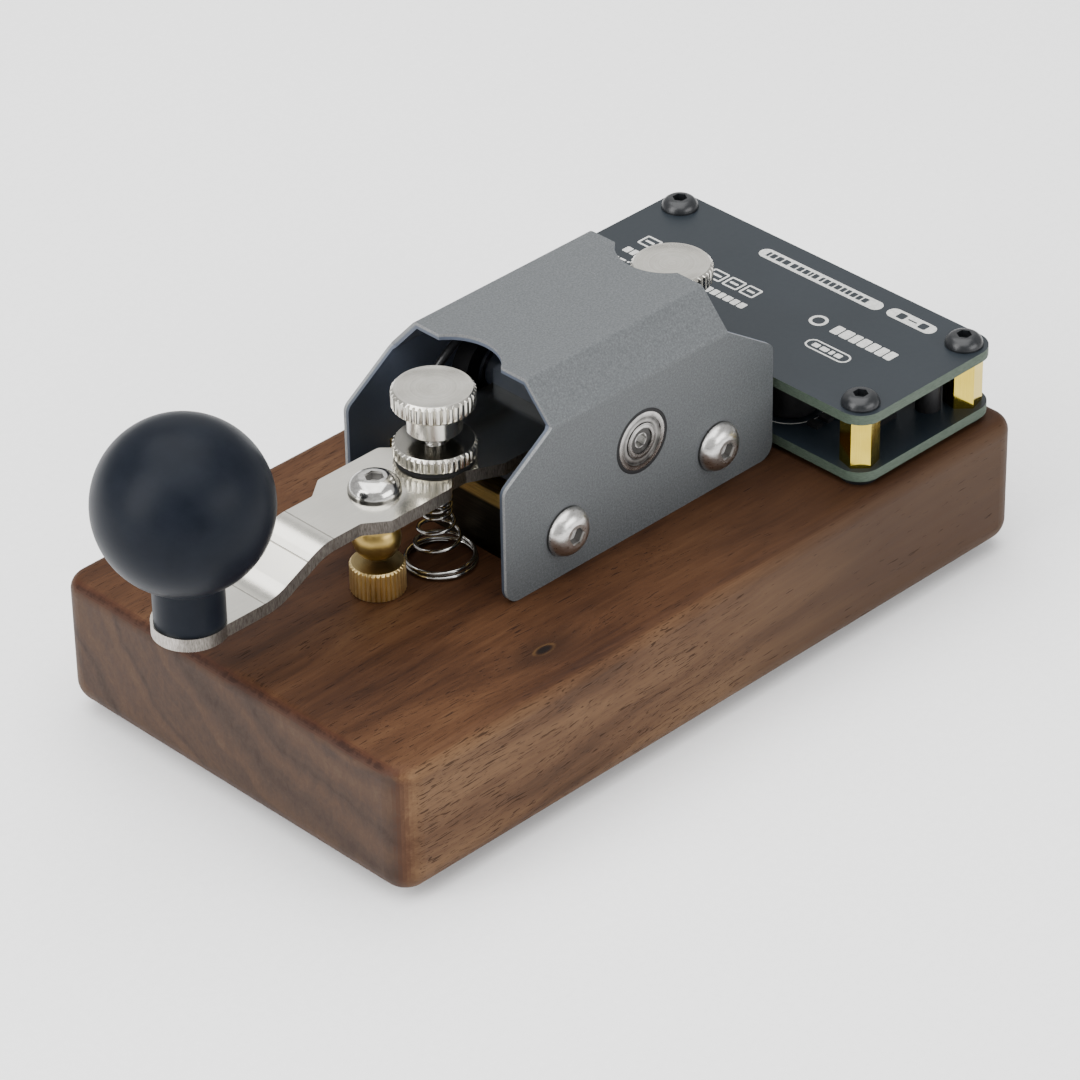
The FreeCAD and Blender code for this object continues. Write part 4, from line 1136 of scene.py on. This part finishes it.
CAMERA_AZIMUTH = -44.32
CAMERA_ELEVATION = 33.28
CAMERA_ROLL = -0.97
CAMERA_DISTANCE = 746.45
CAMERA_LENS = 173.3
CAMERA_SENSOR = 36.0
CAMERA_SHIFT = (-0.00837, -0.03793)
CAMERA_TARGET = Vector((BASE_MIDDLE.x, BASE_MIDDLE.y, BASE_LOW.z + 20.0))


def floor():
    reach = FLOOR_REACH
    mesh = bpy.data.meshes.new("floor")
    corners = [(-reach, -reach, 0), (reach, -reach, 0), (reach, reach, 0), (-reach, reach, 0)]
    mesh.from_pydata([Vector(c) * MM for c in corners], [], [(0, 1, 2, 3)])
    mesh.materials.append(paper_floor())
    thing = bpy.data.objects.new("floor", mesh)
    bpy.context.scene.collection.objects.link(thing)


def area_light(name, position, size, power):
    """A softbox, sized and placed in millimetres, turned towards the middle of the key."""
    light = bpy.data.lights.new(name, "AREA")
    light.shape = "RECTANGLE"
    light.size = size[0] * MM
    light.size_y = size[1] * MM
    light.energy = power
    thing = bpy.data.objects.new(name, light)
    bpy.context.scene.collection.objects.link(thing)
    thing.location = Vector(position) * MM
    thing.rotation_euler = (LIGHT_TARGET - Vector(position)).to_track_quat("-Z", "Y").to_euler()


def lights():
    world = bpy.data.worlds.new("studio")
    world.use_nodes = True
    background = world.node_tree.nodes["Background"]
    background.inputs["Color"].default_value = (1.0, 1.0, 1.0, 1)
    background.inputs["Strength"].default_value = WORLD_STRENGTH
    bpy.context.scene.world = world
    area_light("top_softbox", (-60, 60, 850), (1200, 1000), 15.5)
    area_light("left_softbox", (-750, 150, 420), (500, 700), 8)
    area_light("near_softbox", (200, -800, 380), (700, 400), 5)
    area_light("back_softbox", (620, 620, 520), (800, 450), 0.7)


def camera():
    """The camera stands at the photograph's angle round the key, rolled slightly."""
    azimuth = math.radians(CAMERA_AZIMUTH)
    elevation = math.radians(CAMERA_ELEVATION)
    roll = math.radians(CAMERA_ROLL)
    back = Vector((math.sin(azimuth) * math.cos(elevation), -math.cos(azimuth) * math.cos(elevation),
                   math.sin(elevation)))
    right = (-back).cross(Vector((0, 0, 1))).normalized()
    up = right.cross(-back)
    right_rolled = right * math.cos(roll) + up * math.sin(roll)
    up_rolled = up * math.cos(roll) - right * math.sin(roll)
    data = bpy.data.cameras.new("camera")
    data.lens = CAMERA_LENS
    data.sensor_width = CAMERA_SENSOR
    data.shift_x, data.shift_y = CAMERA_SHIFT
    data.clip_start = 0.01
    data.clip_end = 20.0
    thing = bpy.data.objects.new("camera", data)
    bpy.context.scene.collection.objects.link(thing)
    matrix = Matrix((right_rolled, up_rolled, back)).transposed().to_4x4()
    matrix.translation = (CAMERA_TARGET + back * CAMERA_DISTANCE) * MM
    thing.matrix_world = matrix
    bpy.context.scene.camera = thing


build()
floor()
lights()
camera()
